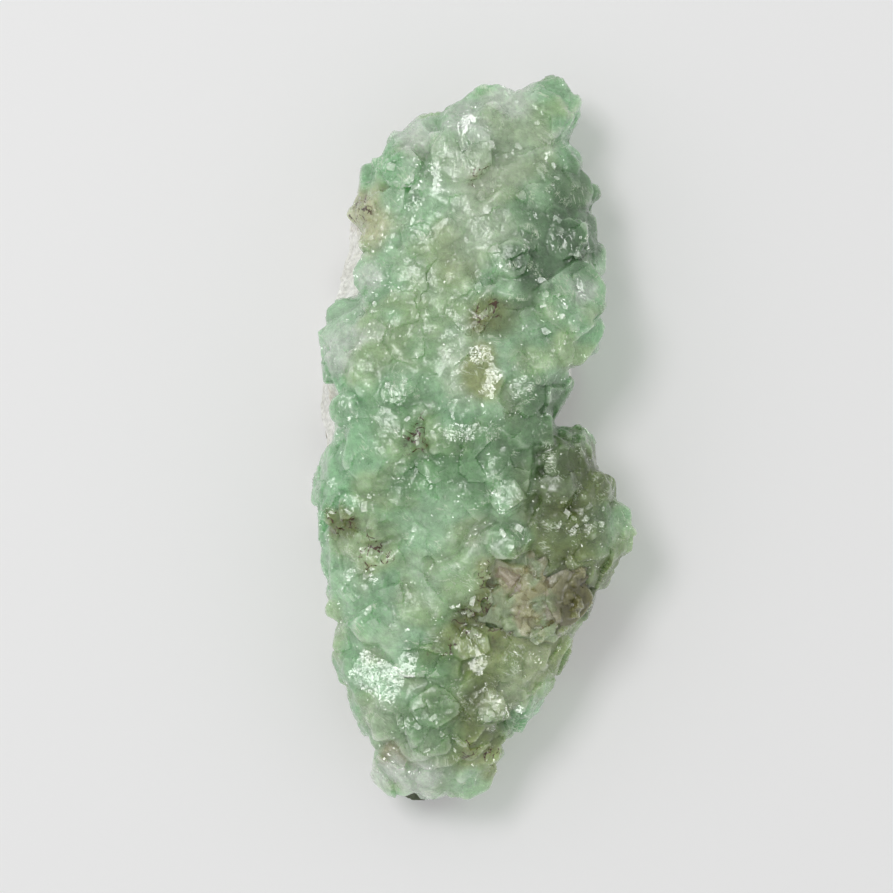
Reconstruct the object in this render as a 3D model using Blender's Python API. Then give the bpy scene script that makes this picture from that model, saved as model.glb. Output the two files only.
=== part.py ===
"""Apophyllite cluster: stubby pale green crystals grown together over a loose piece of rock.

Three grown-together pieces, each one closed solid: the matrix (pale zeolite rock with a flat
broken base), the apophyllite crust that covers its top and overhangs its right side, and a
patch of cream stilbite blades in a hollow of that crust. Metres, +Z up, resting on z = 0. In
plan, +Y runs along the cluster towards its broad end, and +X is to the right of it.
"""

import math
import random

import bmesh
import bpy
import numpy as np
from mathutils import Euler, Matrix, Vector, noise

MM = 0.001
SEED = 7

# Plan and height of the rock and of the crust's bed, in mm, at stations along the cluster.
# Each row: y, matrix left, matrix right, bed left, bed right, matrix top, bed top.
STATIONS = np.array([
    (-60.0, -9.0, -3.0, -8.0, -3.8, 9.5, 14.5),
    (-56.0, -10.0, 1.5, -10.5, 3.0, 11.0, 15.5),
    (-50.0, -12.0, 6.0, -12.5, 7.0, 13.0, 18.5),
    (-44.0, -14.5, 9.5, -14.5, 10.5, 14.5, 20.5),
    (-36.0, -16.5, 14.0, -16.5, 14.5, 16.0, 22.0),
    (-26.0, -18.0, 18.0, -18.0, 19.0, 17.5, 23.0),
    (-16.0, -20.0, 21.0, -19.0, 25.0, 18.5, 25.0),
    (-8.0, -21.5, 20.0, -19.5, 23.0, 19.5, 27.0),
    (-1.0, -22.5, 18.0, -19.5, 18.5, 20.0, 28.0),
    (5.0, -21.8, 16.0, -19.5, 14.0, 20.0, 28.0),
    (12.0, -21.8, 18.5, -19.5, 16.0, 20.0, 27.5),
    (20.0, -20.8, 18.5, -18.5, 20.0, 19.5, 26.5),
    (27.0, -20.2, 17.5, -15.5, 19.0, 18.5, 25.5),
    (35.0, -18.8, 18.0, -15.5, 20.0, 17.0, 24.0),
    (43.0, -15.0, 17.0, -13.5, 18.5, 15.5, 22.5),
    (50.0, -9.0, 16.5, -8.0, 17.5, 14.0, 20.5),
    (56.0, 4.0, 15.5, 3.0, 17.0, 12.0, 17.5),
    (60.0, 12.0, 16.5, 12.0, 16.5, 10.0, 15.5),
])
Y, ROCK_LEFT, ROCK_RIGHT, BED_LEFT, BED_RIGHT, ROCK_TOP, BED_TOP = range(7)

ROCK_LOW = (-3.0, 3.0)  # the rock's underside, before it is broken off flat, and at its ends
BED_LOW = (8.0, 5.5)  # the crust's lower edge stands this high over the base, and at its ends
LOW_POWER = 4  # higher keeps those heights level until nearer to the ends
END_POWER = 6  # higher is blunter where the two ends close
SQUARENESS = 0.8  # lower is squarer across a section
SEAT_GAP = 0.5  # between two pieces where they meet
ROOT = 4.5  # how far a crystal reaches below the bed's surface
PYRAMID_SLOPE = math.radians(60.5)  # between a pyramid face and the flat end
FLAT_WAY = Vector((-0.16, 0.14, 0.98))  # which way the level crystals' flat ends face
LEAN = math.radians(17)  # how far crystals lean away from the bed's outward direction
EDGE_LIMIT = 0.97  # how near to the bed's widest line a crystal may stand
ROCK_MESH = (26, 32)  # sides round a section, and rings along
BED_MESH = (22, 24)
ROUGH_GRAIN = 9.0  # size of the lumps on the rock and the bed
CHIP_GRAIN = 5.0  # size of the chips broken off the rock
ROCK_ROUGH = (1.5, 1.3)  # height of the lumps, and depth of the chips
BED_ROUGH = (1.2, 0.0)

# The cluster's main crystals in plan, in mm: x, y, half width, rise over the bed, how blunt the
# end is (0 a point, 1 a block), how far it turns from the bed (0) to the flat way (1), and for
# those that stand out the heading of their prism faces, in degrees.
TOP_END = [
    (14.8, 54.6, 5.0, 4.0, 0.9, 0.6, 62.0), (8.2, 53.8, 3.8, 2.7, 0.6, 0.2),
    (1.0, 47.8, 5.2, 3.8, 0.8, 0.3, 4.0), (-8.8, 45.0, 3.8, 3.8, 0.7, 0.3),
    (18.4, 50.9, 2.5, 2.9, 0.5, 0.3), (14.6, 47.2, 3.1, 3.6, 0.4, 0.5),
    (18.8, 46.4, 3.2, 2.6, 0.6, 0.1), (9.6, 46.6, 3.6, 2.7, 0.5, 0.2),
    (-6.8, 39.8, 2.1, 3.6, 0.9, 0.9, 30.0), (7.7, 38.4, 4.8, 4.5, 0.7, 0.3),
    (0.0, 39.4, 4.9, 3.6, 0.5, 0.2), (-15.4, 39.0, 3.9, 2.9, 0.6, 0.1),
    (-11.6, 34.4, 4.1, 3.1, 0.5, 0.1),
]
RIGHT_SHOULDER = [
    (19.8, 41.4, 4.8, 2.7, 0.4, 0.0), (15.4, 39.4, 3.6, 2.7, 0.3, 0.0),
    (19.0, 34.2, 5.1, 3.4, 0.6, 0.1), (9.3, 30.0, 3.4, 4.0, 0.8, 0.5),
    (4.6, 32.4, 3.2, 3.1, 0.4, 0.2), (5.2, 24.4, 3.6, 2.0, 0.3, 0.2),
    (16.9, 22.6, 6.3, 6.3, 0.8, 0.2, 38.0), (17.6, 18.2, 5.0, 5.2, 0.7, 0.2, 2.0),
    (13.4, 14.0, 4.3, 4.0, 0.6, 0.3), (23.2, 21.4, 3.4, 1.1, 0.6, 0.1),
    (10.8, 18.6, 4.1, 2.7, 0.5, 0.3),
]
MIDDLE = [
    (-3.8, 33.4, 4.3, 3.1, 0.4, 0.2), (-12.6, 27.2, 4.1, 3.1, 0.5, 0.1),
    (-6.0, 26.6, 5.0, 3.4, 0.5, 0.2), (0.6, 26.4, 3.8, 2.9, 0.4, 0.3),
    (1.6, 20.0, 3.8, 2.9, 0.4, 0.3), (-4.2, 19.4, 4.1, 3.4, 0.4, 0.1),
    (-11.4, 19.4, 4.8, 3.4, 0.5, 0.1), (-17.0, 15.6, 3.9, 2.5, 0.5, 0.0),
    (4.3, 14.8, 2.1, 4.6, 0.9, 1.0, 12.0), (5.8, 10.2, 2.6, 4.8, 0.9, 1.0, 62.0),
    (10.4, 9.6, 2.3, 4.2, 0.9, 0.9, 25.0), (9.6, 13.0, 2.5, 3.4, 0.4, 0.3),
    (-2.4, 12.6, 4.1, 2.9, 0.4, 0.2), (-8.5, 9.6, 3.4, 3.6, 0.5, 0.2),
    (-14.2, 9.4, 3.8, 3.1, 0.5, 0.1), (-18.0, 6.0, 3.6, 2.2, 0.5, 0.0),
    (3.6, 4.4, 4.6, 3.6, 0.4, 0.3), (-1.6, 1.2, 3.4, 4.7, 0.6, 0.8),
    (10.4, 1.4, 4.8, 4.0, 0.5, 0.2), (13.0, 6.2, 3.4, 2.5, 0.4, 0.1),
    (-9.0, 3.0, 3.6, 2.9, 0.4, 0.1), (-14.8, 1.6, 3.3, 3.1, 0.5, 0.2),
]
WAIST = [
    (-11.2, -3.8, 4.6, 3.6, 0.4, 0.2), (-3.6, -5.6, 4.3, 3.8, 0.4, 0.2),
    (3.2, -3.0, 3.9, 3.1, 0.4, 0.2), (8.2, -8.2, 2.7, 5.6, 0.8, 0.9, 35.0),
    (3.0, -9.8, 3.6, 3.4, 0.4, 0.3), (-17.4, -10.0, 3.2, 3.6, 0.6, 0.3),
    (-18.6, -4.6, 3.2, 2.5, 0.5, 0.1), (-10.4, -11.4, 3.6, 3.1, 0.5, 0.2),
    (-17.8, -16.4, 3.6, 2.7, 0.5, 0.1), (17.8, -3.2, 4.6, 3.6, 0.5, 0.1),
    (21.4, -7.8, 4.9, 3.4, 0.5, 0.1), (16.4, -8.0, 3.4, 4.3, 0.5, 0.4),
    (15.6, -13.8, 4.3, 3.6, 0.4, 0.3), (24.8, -14.4, 5.1, 3.8, 0.6, 0.1),
    (20.8, -17.4, 4.8, 4.0, 0.4, 0.2), (7.4, -15.6, 2.8, 4.0, 0.8, 0.5),
    (10.8, -15.0, 2.4, 3.6, 0.8, 0.5), (-2.8, -14.6, 5.0, 3.8, 0.4, 0.1),
    (-9.4, -18.6, 4.6, 3.6, 0.4, 0.1),
]
LOWER_LEFT = [
    (-15.4, -22.6, 4.1, 3.1, 0.5, 0.3), (0.6, -22.6, 5.1, 4.7, 0.5, 0.2),
    (-5.8, -26.4, 4.8, 4.0, 0.4, 0.1), (-13.8, -29.0, 5.0, 3.6, 0.5, 0.1),
    (-15.6, -35.0, 3.2, 2.9, 0.5, 0.2), (-8.8, -32.4, 4.1, 4.0, 0.5, 0.2),
    (-3.4, -33.6, 4.1, 4.0, 0.4, 0.1), (-13.4, -38.4, 4.3, 4.5, 0.9, 0.9, 28.0),
    (-9.0, -41.2, 3.9, 4.3, 0.7, 0.7), (-7.6, -36.6, 2.1, 5.6, 0.8, 1.0, 70.0),
    (-15.2, -42.0, 2.6, 1.8, 0.8, 0.1), (-10.2, -46.6, 3.7, 3.4, 0.6, 0.3),
    (-3.0, -42.4, 5.0, 4.7, 0.6, 0.2), (-7.2, -45.4, 2.3, 4.7, 0.7, 0.5),
]
LOWER_END = [
    (-4.0, -49.4, 4.4, 4.7, 0.7, 0.3), (-10.2, -52.2, 3.1, 2.7, 0.5, 0.2),
    (4.6, -42.8, 4.3, 4.0, 0.6, 0.3), (1.6, -48.0, 3.2, 3.6, 0.6, 0.3),
    (5.4, -48.2, 3.1, 2.9, 0.5, 0.2), (1.2, -52.2, 3.2, 2.5, 0.4, 0.2),
    (4.2, -51.4, 2.8, 2.0, 0.6, 0.1), (-6.0, -55.2, 3.4, 3.1, 0.6, 0.2),
    (9.6, -44.6, 2.5, 3.6, 0.5, 0.8, 80.0),
]
RIGHT_EDGE = [
    (3.6, -36.2, 2.3, 4.0, 0.8, 1.0, 55.0), (2.6, -31.6, 3.5, 2.9, 0.5, 0.3),
    (10.4, -36.6, 4.3, 3.4, 0.4, 0.1), (15.0, -35.2, 3.1, 2.7, 0.5, 0.1),
    (18.4, -28.6, 4.2, 3.1, 0.5, 0.1), (13.2, -31.0, 3.4, 2.7, 0.4, 0.2),
    (7.6, -32.4, 3.0, 2.9, 0.5, 0.4), (20.2, -22.8, 3.8, 2.7, 0.4, 0.2),
]
NARROW = (0.74, 1.0)  # a crystal's second width, in shares of the first
POINT_REACH, BLOCK_REACH = 0.12, 1.17  # half the flat end's diagonal on a point and on a block
UNEVEN = (0.72, 1.25)  # how much nearer or farther one pyramid face may lie

# Smaller crystals between the main ones, and those along the crust's two edges. Lengths are in
# mm, and rises in shares of the half width.
FILL_TRIES = 70  # places tried
FILL_MARGIN = 4.0  # from the cluster's two ends
FILL_HALF = (2.4, 3.6)
FILL_RISE = (0.7, 1.1)
FILL_BLUNT = (0.3, 0.8)
FILL_LEVEL = 0.1
FILL_SPACING = 0.62  # of the two half widths' sum, between a filling crystal and its neighbour
SIDE_STEP = 7.0
SIDE_SHIFT = 1.0
SIDE_MARGIN = 7.5  # from the cluster's two ends to the first of them
SIDE_TURN = (4.0, 34.0)  # how far round from the widest line towards the top, in degrees
SIDE_HALF = (2.6, 4.2)
SIDE_RISE = (0.3, 0.6)
SIDE_BLUNT = (0.4, 0.8)

# The hollow with stilbite, in mm: its middle in plan, and its half sizes.
HOLLOW = (11.5, -24.0)
HOLLOW_HALF = (9.0, 7.0, 13.0)
HOLLOW_RISE = 5.0  # its middle stands this high over the bed
HOLLOW_MESH = (16, 10)
STILBITE_SINK = 2.2  # the stilbite's own bed lies this deep under the crust's
STILBITE_INSET = 0.2  # its own bed keeps this far inside the trimmed blades
FAN_COUNT = 10  # sheaves of blades
FAN_BLADES = 3
GOLDEN_TURN = math.pi * (3 - math.sqrt(5))  # from one sheaf to the next, so that none line up
FAN_SPREAD = 24.0  # degrees from blade to blade
FAN_REACH = 0.74  # of the hollow's half sizes, from its middle to the outermost sheaf's foot
FAN_LEAN = 38.0  # how far a sheaf leans outwards
BLADE_HALF = (1.9, 0.75, 3.6)
BLADE_TAPER = 0.55
BLADE_RISE = 0.55
BLADE_SIZES = (0.8, 1.1)  # from the smallest to the largest
FAN_SEED = 10

ROCK_COLOUR = (0.70, 0.71, 0.66, 1.0)
CRUST_COLOUR = (0.33, 0.56, 0.36, 1.0)
STILBITE_COLOUR = (0.62, 0.55, 0.42, 1.0)


def fresh_scene():
    """Remove what the scene holds, and make the collections for the pieces and the cutters."""
    for old in list(bpy.data.objects):
        bpy.data.objects.remove(old)
    pieces = bpy.data.collections.new("apophyllite_cluster")
    cutters = bpy.data.collections.new("cutters")
    blanks = bpy.data.collections.new("crystal_blanks")
    blades = bpy.data.collections.new("stilbite_blanks")
    for collection in (pieces, cutters, blanks, blades):
        bpy.context.scene.collection.children.link(collection)
    return pieces, cutters, blanks, blades


def material(name, colour, roughness):
    """One opaque finish for the solids."""
    finish = bpy.data.materials.new(name)
    finish.use_nodes = True
    shader = finish.node_tree.nodes["Principled BSDF"]
    shader.inputs["Base Color"].default_value = colour
    shader.inputs["Roughness"].default_value = roughness
    shader.inputs["Metallic"].default_value = 0.0
    return finish


def add(name, form, collection, parent, finish=None):
    """Put a bmesh, given in mm, into an object in metres."""
    bmesh.ops.scale(form, vec=(MM, MM, MM), verts=form.verts)
    form.normal_update()
    bmesh.ops.recalc_face_normals(form, faces=form.faces)
    mesh = bpy.data.meshes.new(name)
    form.to_mesh(mesh)
    form.free()
    item = bpy.data.objects.new(name, mesh)
    collection.objects.link(item)
    item.parent = parent
    if finish is None:
        item.hide_render = True
        item.display_type = "WIRE"
    else:
        mesh.materials.append(finish)
    return item


def boolean(target, operation, cutter, solver="EXACT"):
    """Cut or join with one object or with a whole collection."""
    step = target.modifiers.new(operation.lower(), "BOOLEAN")
    step.operation = operation
    step.solver = solver
    if isinstance(cutter, bpy.types.Collection):
        step.operand_type = "COLLECTION"
        step.collection = cutter
    else:
        step.object = cutter


def keep_largest(item):
    """Apply the cuts, and drop the chips that they leave loose beside the main body."""
    bpy.context.view_layer.update()
    graph = bpy.context.evaluated_depsgraph_get()
    mesh = bpy.data.meshes.new_from_object(item.evaluated_get(graph))
    form = bmesh.new()
    form.from_mesh(mesh)
    left = set(form.verts)
    bodies = []
    while left:
        body = set()
        front = [left.pop()]
        while front:
            point = front.pop()
            body.add(point)
            for edge in point.link_edges:
                other = edge.other_vert(point)
                if other in left:
                    left.remove(other)
                    front.append(other)
        bodies.append(body)
    bodies.sort(key=len)
    for chip in bodies[:-1]:
        bmesh.ops.delete(form, geom=list(chip), context="VERTS")
    form.to_mesh(mesh)
    form.free()
    item.modifiers.clear()
    item.data = mesh


def section(y, left, right, low, top):
    """Middle and half sizes of the section at y: x middle, x half, z middle, z half."""
    ends = STATIONS[[0, -1], Y]
    along = (2 * y - ends.sum()) / (ends[1] - ends[0])
    x0 = np.interp(y, STATIONS[:, Y], STATIONS[:, left])
    x1 = np.interp(y, STATIONS[:, Y], STATIONS[:, right])
    z0 = low[0] + (low[1] - low[0]) * along ** LOW_POWER
    z1 = np.interp(y, STATIONS[:, Y], STATIONS[:, top])
    close = max(1 - abs(along) ** END_POWER, 0.0) ** (1 / END_POWER)
    return (x0 + x1) / 2, close * (x1 - x0) / 2, (z0 + z1) / 2, close * (z1 - z0) / 2


def lump(left, right, low, top, mesh, rough, grow=0.0):
    """A sphere stretched over the stations: squarish sections, roughened along its normals."""
    form = bmesh.new()
    bmesh.ops.create_uvsphere(form, u_segments=mesh[0], v_segments=mesh[1], radius=1)
    ends = STATIONS[[0, -1], Y]
    for point in form.verts:
        across, up, along = point.co
        ring = max(math.hypot(across, up), 1e-9)
        y = (ends.sum() + along * (ends[1] - ends[0])) / 2
        x_mid, x_half, z_mid, z_half = section(y, left, right, low, top)
        x = math.copysign((abs(across) / ring) ** SQUARENESS, across) if ring > 1e-6 else 0
        z = math.copysign((abs(up) / ring) ** SQUARENESS, up) if ring > 1e-6 else 0
        point.co = (x_mid + x_half * x, y, z_mid + z_half * z)
    bmesh.ops.reverse_faces(form, faces=form.faces)
    form.normal_update()
    for point in form.verts:
        lumps = rough[0] * noise.noise(point.co / ROUGH_GRAIN)
        chips = rough[1] * noise.cell(point.co / CHIP_GRAIN)
        point.co += point.normal * (grow + lumps - chips)
    bmesh.ops.triangulate(form, faces=form.faces, quad_method="FIXED")
    return form


def bed_point(y, across, up):
    """A point of the bed's section at y, given in shares of its half sizes, and its outward way."""
    x_mid, x_half, z_mid, z_half = section(y, BED_LEFT, BED_RIGHT, BED_LOW, BED_TOP)
    power = 2 / SQUARENESS - 1
    ahead = section(y + 1, BED_LEFT, BED_RIGHT, BED_LOW, BED_TOP)
    behind = section(y - 1, BED_LEFT, BED_RIGHT, BED_LOW, BED_TOP)
    out = Vector((math.copysign(abs(across) ** power, across) / x_half, 0, up ** power / z_half))
    out.normalize()
    out.y = (behind[1] - ahead[1]) / 2 * abs(across) + (behind[3] - ahead[3]) / 2 * up
    return Vector((x_mid + x_half * across, y, z_mid + z_half * up)), out.normalized()


def bed_at(x, y):
    """The point of the crust's bed at x, y in plan, and its outward direction."""
    x_mid, x_half, _, _ = section(y, BED_LEFT, BED_RIGHT, BED_LOW, BED_TOP)
    across = min(max((x - x_mid) / x_half, -EDGE_LIMIT), EDGE_LIMIT)
    power = 2 / SQUARENESS
    return bed_point(y, across, (1 - abs(across) ** power) ** (1 / power))


def bed_side(y, turn):
    """The point of the crust's bed at a turn round its section, 0 at the right and 90 on top."""
    across, up = math.cos(math.radians(turn)), math.sin(math.radians(turn))
    across = math.copysign(abs(across) ** SQUARENESS, across)
    return bed_point(y, across, up ** SQUARENESS)


def crystal(half, rise, blunt, rng):
    """A square prism cut by a four-faced pyramid over its edges, which leaves a flat end.

    It stands on z = 0 with its root below. The pyramid's faces lie at different distances, as
    in a crystal that grew faster to one side.
    """
    form = bmesh.new()
    bmesh.ops.create_cube(form, size=1)
    narrow = half * rng.uniform(*NARROW)
    bmesh.ops.scale(form, vec=(2 * half, 2 * narrow, rise + ROOT), verts=form.verts)
    bmesh.ops.translate(form, vec=(0, 0, (rise - ROOT) / 2), verts=form.verts)
    for quarter in range(4):
        heading = math.radians(45 + 90 * quarter)
        side = math.sin(PYRAMID_SLOPE)
        normal = Vector((side * math.cos(heading), side * math.sin(heading), math.cos(PYRAMID_SLOPE)))
        reach = POINT_REACH + (BLOCK_REACH - POINT_REACH) * blunt
        reach *= half * rng.uniform(*UNEVEN)
        point = Vector((reach * math.cos(heading), reach * math.sin(heading), rise))
        everything = form.verts[:] + form.edges[:] + form.faces[:]
        cut = bmesh.ops.bisect_plane(form, geom=everything, plane_co=point, plane_no=normal,
                                     clear_outer=True)
        rim = [item for item in cut["geom_cut"] if isinstance(item, bmesh.types.BMEdge)]
        bmesh.ops.contextual_create(form, geom=rim)
    return form


def stand(out, level, spin, rng):
    """A turn that stands a crystal along the bed's outward direction, or nearer to the flat way."""
    axis = out.lerp(FLAT_WAY, level).normalized()
    lean = LEAN * (1 - level)
    tilt = Euler((rng.gauss(0, lean), rng.gauss(0, lean), rng.uniform(0, math.pi / 2)))
    if spin is not None:
        tilt = Euler((0, 0, math.radians(spin)))
    upright = Vector((0, 0, 1)).rotation_difference(axis)
    return upright.to_matrix().to_4x4() @ tilt.to_matrix().to_4x4()


def in_hollow(x, y):
    """Whether a point in plan lies over the stilbite's hollow."""
    return ((x - HOLLOW[0]) / HOLLOW_HALF[0]) ** 2 + ((y - HOLLOW[1]) / HOLLOW_HALF[1]) ** 2 < 1


def all_crystals():
    """Main crystals, smaller ones between them, and those along the crust's two edges.

    Each one: its place on the bed, the outward direction there, and the rest of its row in the
    tables from the half width on, with None for a heading left open.
    """
    rows = TOP_END + RIGHT_SHOULDER + MIDDLE + WAIST + LOWER_LEFT + LOWER_END + RIGHT_EDGE
    rng = random.Random(SEED)
    for _ in range(FILL_TRIES):
        y = rng.uniform(STATIONS[0, Y] + FILL_MARGIN, STATIONS[-1, Y] - FILL_MARGIN)
        x_mid, x_half, _, _ = section(y, BED_LEFT, BED_RIGHT, BED_LOW, BED_TOP)
        x = x_mid + x_half * rng.uniform(-1, 1)
        half = rng.uniform(*FILL_HALF)
        rise = half * rng.uniform(*FILL_RISE)
        row = (x, y, half, rise, rng.uniform(*FILL_BLUNT), FILL_LEVEL, None)
        clear = all(math.hypot(x - other[0], y - other[1]) > FILL_SPACING * (half + other[2])
                    for other in rows)
        if clear and not in_hollow(x, y):
            rows = rows + [row]
    crystals = [bed_at(*row[:2]) + (row[2:] + (None,))[:5] for row in rows]
    y = STATIONS[0, Y] + SIDE_MARGIN
    while y < STATIONS[-1, Y] - SIDE_MARGIN:
        for side in (0, 180):
            turn = abs(side - rng.uniform(*SIDE_TURN))
            half = rng.uniform(*SIDE_HALF)
            shape = (half, half * rng.uniform(*SIDE_RISE), rng.uniform(*SIDE_BLUNT), 0.0, None)
            crystals.append(bed_side(y + SIDE_SHIFT * rng.uniform(-1, 1), turn) + shape)
        y += SIDE_STEP
    return crystals


def matrix_rock(pieces, cutters, parent):
    """The loose piece of rock: a rough lump broken off flat below."""
    finish = material("chalky_zeolite", ROCK_COLOUR, 0.9)
    form = lump(ROCK_LEFT, ROCK_RIGHT, ROCK_LOW, ROCK_TOP, ROCK_MESH, ROCK_ROUGH)
    everything = form.verts[:] + form.edges[:] + form.faces[:]
    cut = bmesh.ops.bisect_plane(form, geom=everything, plane_co=(0, 0, 0), plane_no=(0, 0, -1),
                                 clear_outer=True)
    rim = [item for item in cut["geom_cut"] if isinstance(item, bmesh.types.BMEdge)]
    bmesh.ops.contextual_create(form, geom=rim)
    add("matrix", form, pieces, parent, finish)
    seat = lump(ROCK_LEFT, ROCK_RIGHT, ROCK_LOW, ROCK_TOP, ROCK_MESH, ROCK_ROUGH, SEAT_GAP)
    return add("matrix_seat", seat, cutters, parent)


def hollow(grow):
    """The egg-shaped hollow in the crust, grown or shrunk by a few tenths."""
    form = bmesh.new()
    bmesh.ops.create_uvsphere(form, u_segments=HOLLOW_MESH[0], v_segments=HOLLOW_MESH[1], radius=1)
    bmesh.ops.scale(form, vec=[side + grow for side in HOLLOW_HALF], verts=form.verts)
    point, _ = bed_at(*HOLLOW)
    bmesh.ops.translate(form, vec=(point.x, point.y, point.z + HOLLOW_RISE), verts=form.verts)
    return form


def apophyllite_crust(pieces, cutters, blanks, parent, seat):
    """The bed and all its crystals as one solid, less the rock and the hollow."""
    finish = material("apophyllite", CRUST_COLOUR, 0.25)
    bed = lump(BED_LEFT, BED_RIGHT, BED_LOW, BED_TOP, BED_MESH, BED_ROUGH)
    crust = add("apophyllite_crust", bed, pieces, parent, finish)
    for number, (point, out, half, rise, blunt, level, spin) in enumerate(all_crystals()):
        rng = random.Random(SEED + round(10 * point.x) + 1000 * round(10 * point.y))
        form = crystal(half, rise, blunt, rng)
        form.transform(Matrix.Translation(point) @ stand(out, level, spin, rng))
        add("crystal_%03d" % number, form, blanks, parent)
    boolean(crust, "UNION", blanks)
    boolean(crust, "DIFFERENCE", seat, "MANIFOLD")
    boolean(crust, "DIFFERENCE", add("hollow", hollow(0), cutters, parent), "MANIFOLD")
    keep_largest(crust)


def stilbite_blade(rng):
    """A flat blade that rises from z = 0, with its far end drawn in to a blunt point."""
    blade = bmesh.new()
    bmesh.ops.create_cube(blade, size=2)
    for corner in blade.verts:
        if corner.co.z > 0:
            corner.co.x *= BLADE_TAPER
    size = [side * rng.uniform(*BLADE_SIZES) for side in BLADE_HALF]
    bmesh.ops.scale(blade, vec=size, verts=blade.verts)
    bmesh.ops.translate(blade, vec=(0, 0, size[2] * BLADE_RISE), verts=blade.verts)
    return blade


def stilbite_patch(pieces, cutters, blades, parent, seat):
    """A low bed in the hollow with flat, leaning blades on it, trimmed to the hollow."""
    finish = material("stilbite", STILBITE_COLOUR, 0.5)
    point, _ = bed_at(*HOLLOW)
    form = hollow(-SEAT_GAP - STILBITE_INSET)
    everything = form.verts[:] + form.edges[:] + form.faces[:]
    cut = bmesh.ops.bisect_plane(form, geom=everything, plane_no=(0, 0, 1),
                                 plane_co=(0, 0, point.z - STILBITE_SINK), clear_outer=True)
    rim = [item for item in cut["geom_cut"] if isinstance(item, bmesh.types.BMEdge)]
    bmesh.ops.contextual_create(form, geom=rim)
    patch = add("stilbite_patch", form, pieces, parent, finish)
    rng = random.Random(FAN_SEED)
    for fan in range(FAN_COUNT):
        heading = GOLDEN_TURN * fan
        reach = FAN_REACH * math.sqrt((fan + 0.5) / FAN_COUNT)
        place = Vector((point.x + HOLLOW_HALF[0] * reach * math.cos(heading),
                        point.y + HOLLOW_HALF[1] * reach * math.sin(heading),
                        point.z - STILBITE_SINK - 1))
        lean = math.radians(FAN_LEAN) * rng.uniform(0.5, 1.0)
        stance = Matrix.Rotation(heading, 4, "Z") @ Matrix.Rotation(lean, 4, "Y")
        stance = stance @ Matrix.Rotation(rng.uniform(0, math.pi), 4, "Z")
        for step in range(FAN_BLADES):
            spread = math.radians(FAN_SPREAD) * (step - (FAN_BLADES - 1) / 2)
            blade = stilbite_blade(rng)
            blade.transform(Matrix.Translation(place) @ stance @ Matrix.Rotation(spread, 4, "Y"))
            add("blade_%d_%d" % (fan, step), blade, blades, parent)
    boolean(patch, "UNION", blades)
    boolean(patch, "INTERSECT", add("hollow_inside", hollow(-SEAT_GAP), cutters, parent))
    boolean(patch, "DIFFERENCE", seat)


def centre(pieces, parent):
    """Move all so that the base lies on z = 0 and the origin under the box's middle."""
    bpy.context.view_layer.update()
    graph = bpy.context.evaluated_depsgraph_get()
    corners = []
    for item in pieces.objects:
        solid = item.evaluated_get(graph)
        corners += [item.matrix_world @ Vector(corner) for corner in solid.bound_box]
    corners = np.array(corners)
    low, high = corners.min(axis=0), corners.max(axis=0)
    parent.location = (-(low[0] + high[0]) / 2, -(low[1] + high[1]) / 2, -low[2])
    print("cluster's place", [round(value / MM, 3) for value in parent.location],
          "sides", np.round((high - low) / MM, 2))


def build():
    """Make the three pieces in one frame."""
    pieces, cutters, blanks, blades = fresh_scene()
    parent = bpy.data.objects.new("cluster_origin", None)
    pieces.objects.link(parent)
    seat = matrix_rock(pieces, cutters, parent)
    apophyllite_crust(pieces, cutters, blanks, parent, seat)
    stilbite_patch(pieces, cutters, blades, parent, seat)
    centre(pieces, parent)


build()
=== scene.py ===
"""The looks of an apophyllite cluster: milky green crystals on chalky rock, seen from above.

Lengths are in mm and places in the plan of the cluster, with +Y along it, until put() takes them
into the part's frame. The crust repeats the crystals of the solid model by the same rule and
adds the finer growth that the solid leaves out.
"""

import math
import random
from itertools import combinations, product

import bmesh
import bpy
import numpy as np
from mathutils import Euler, Matrix, Vector
from mathutils.bvhtree import BVHTree


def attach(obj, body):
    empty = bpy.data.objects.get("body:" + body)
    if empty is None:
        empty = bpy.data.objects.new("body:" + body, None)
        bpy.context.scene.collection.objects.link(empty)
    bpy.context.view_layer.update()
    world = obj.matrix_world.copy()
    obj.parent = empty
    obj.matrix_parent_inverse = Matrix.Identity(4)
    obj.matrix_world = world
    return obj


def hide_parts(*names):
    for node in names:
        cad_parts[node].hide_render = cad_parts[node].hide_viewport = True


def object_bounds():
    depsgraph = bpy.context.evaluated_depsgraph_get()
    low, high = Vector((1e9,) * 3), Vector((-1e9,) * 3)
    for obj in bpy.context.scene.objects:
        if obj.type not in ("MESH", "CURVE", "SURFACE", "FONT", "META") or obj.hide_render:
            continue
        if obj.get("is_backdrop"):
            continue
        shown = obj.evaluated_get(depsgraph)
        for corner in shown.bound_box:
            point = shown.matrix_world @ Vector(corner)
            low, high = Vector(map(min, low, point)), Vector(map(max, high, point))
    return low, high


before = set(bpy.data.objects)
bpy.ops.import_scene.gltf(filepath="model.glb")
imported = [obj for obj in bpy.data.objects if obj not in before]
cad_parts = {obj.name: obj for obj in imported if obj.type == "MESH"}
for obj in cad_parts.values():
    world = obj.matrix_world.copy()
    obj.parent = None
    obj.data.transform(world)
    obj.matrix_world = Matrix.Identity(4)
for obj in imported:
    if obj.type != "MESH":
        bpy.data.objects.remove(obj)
CAD_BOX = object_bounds()

MM = 0.001
SEED = 7
PLACE = np.array((-3.163, -0.221, 0.0))  # the plan's zero in the part's frame

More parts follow.
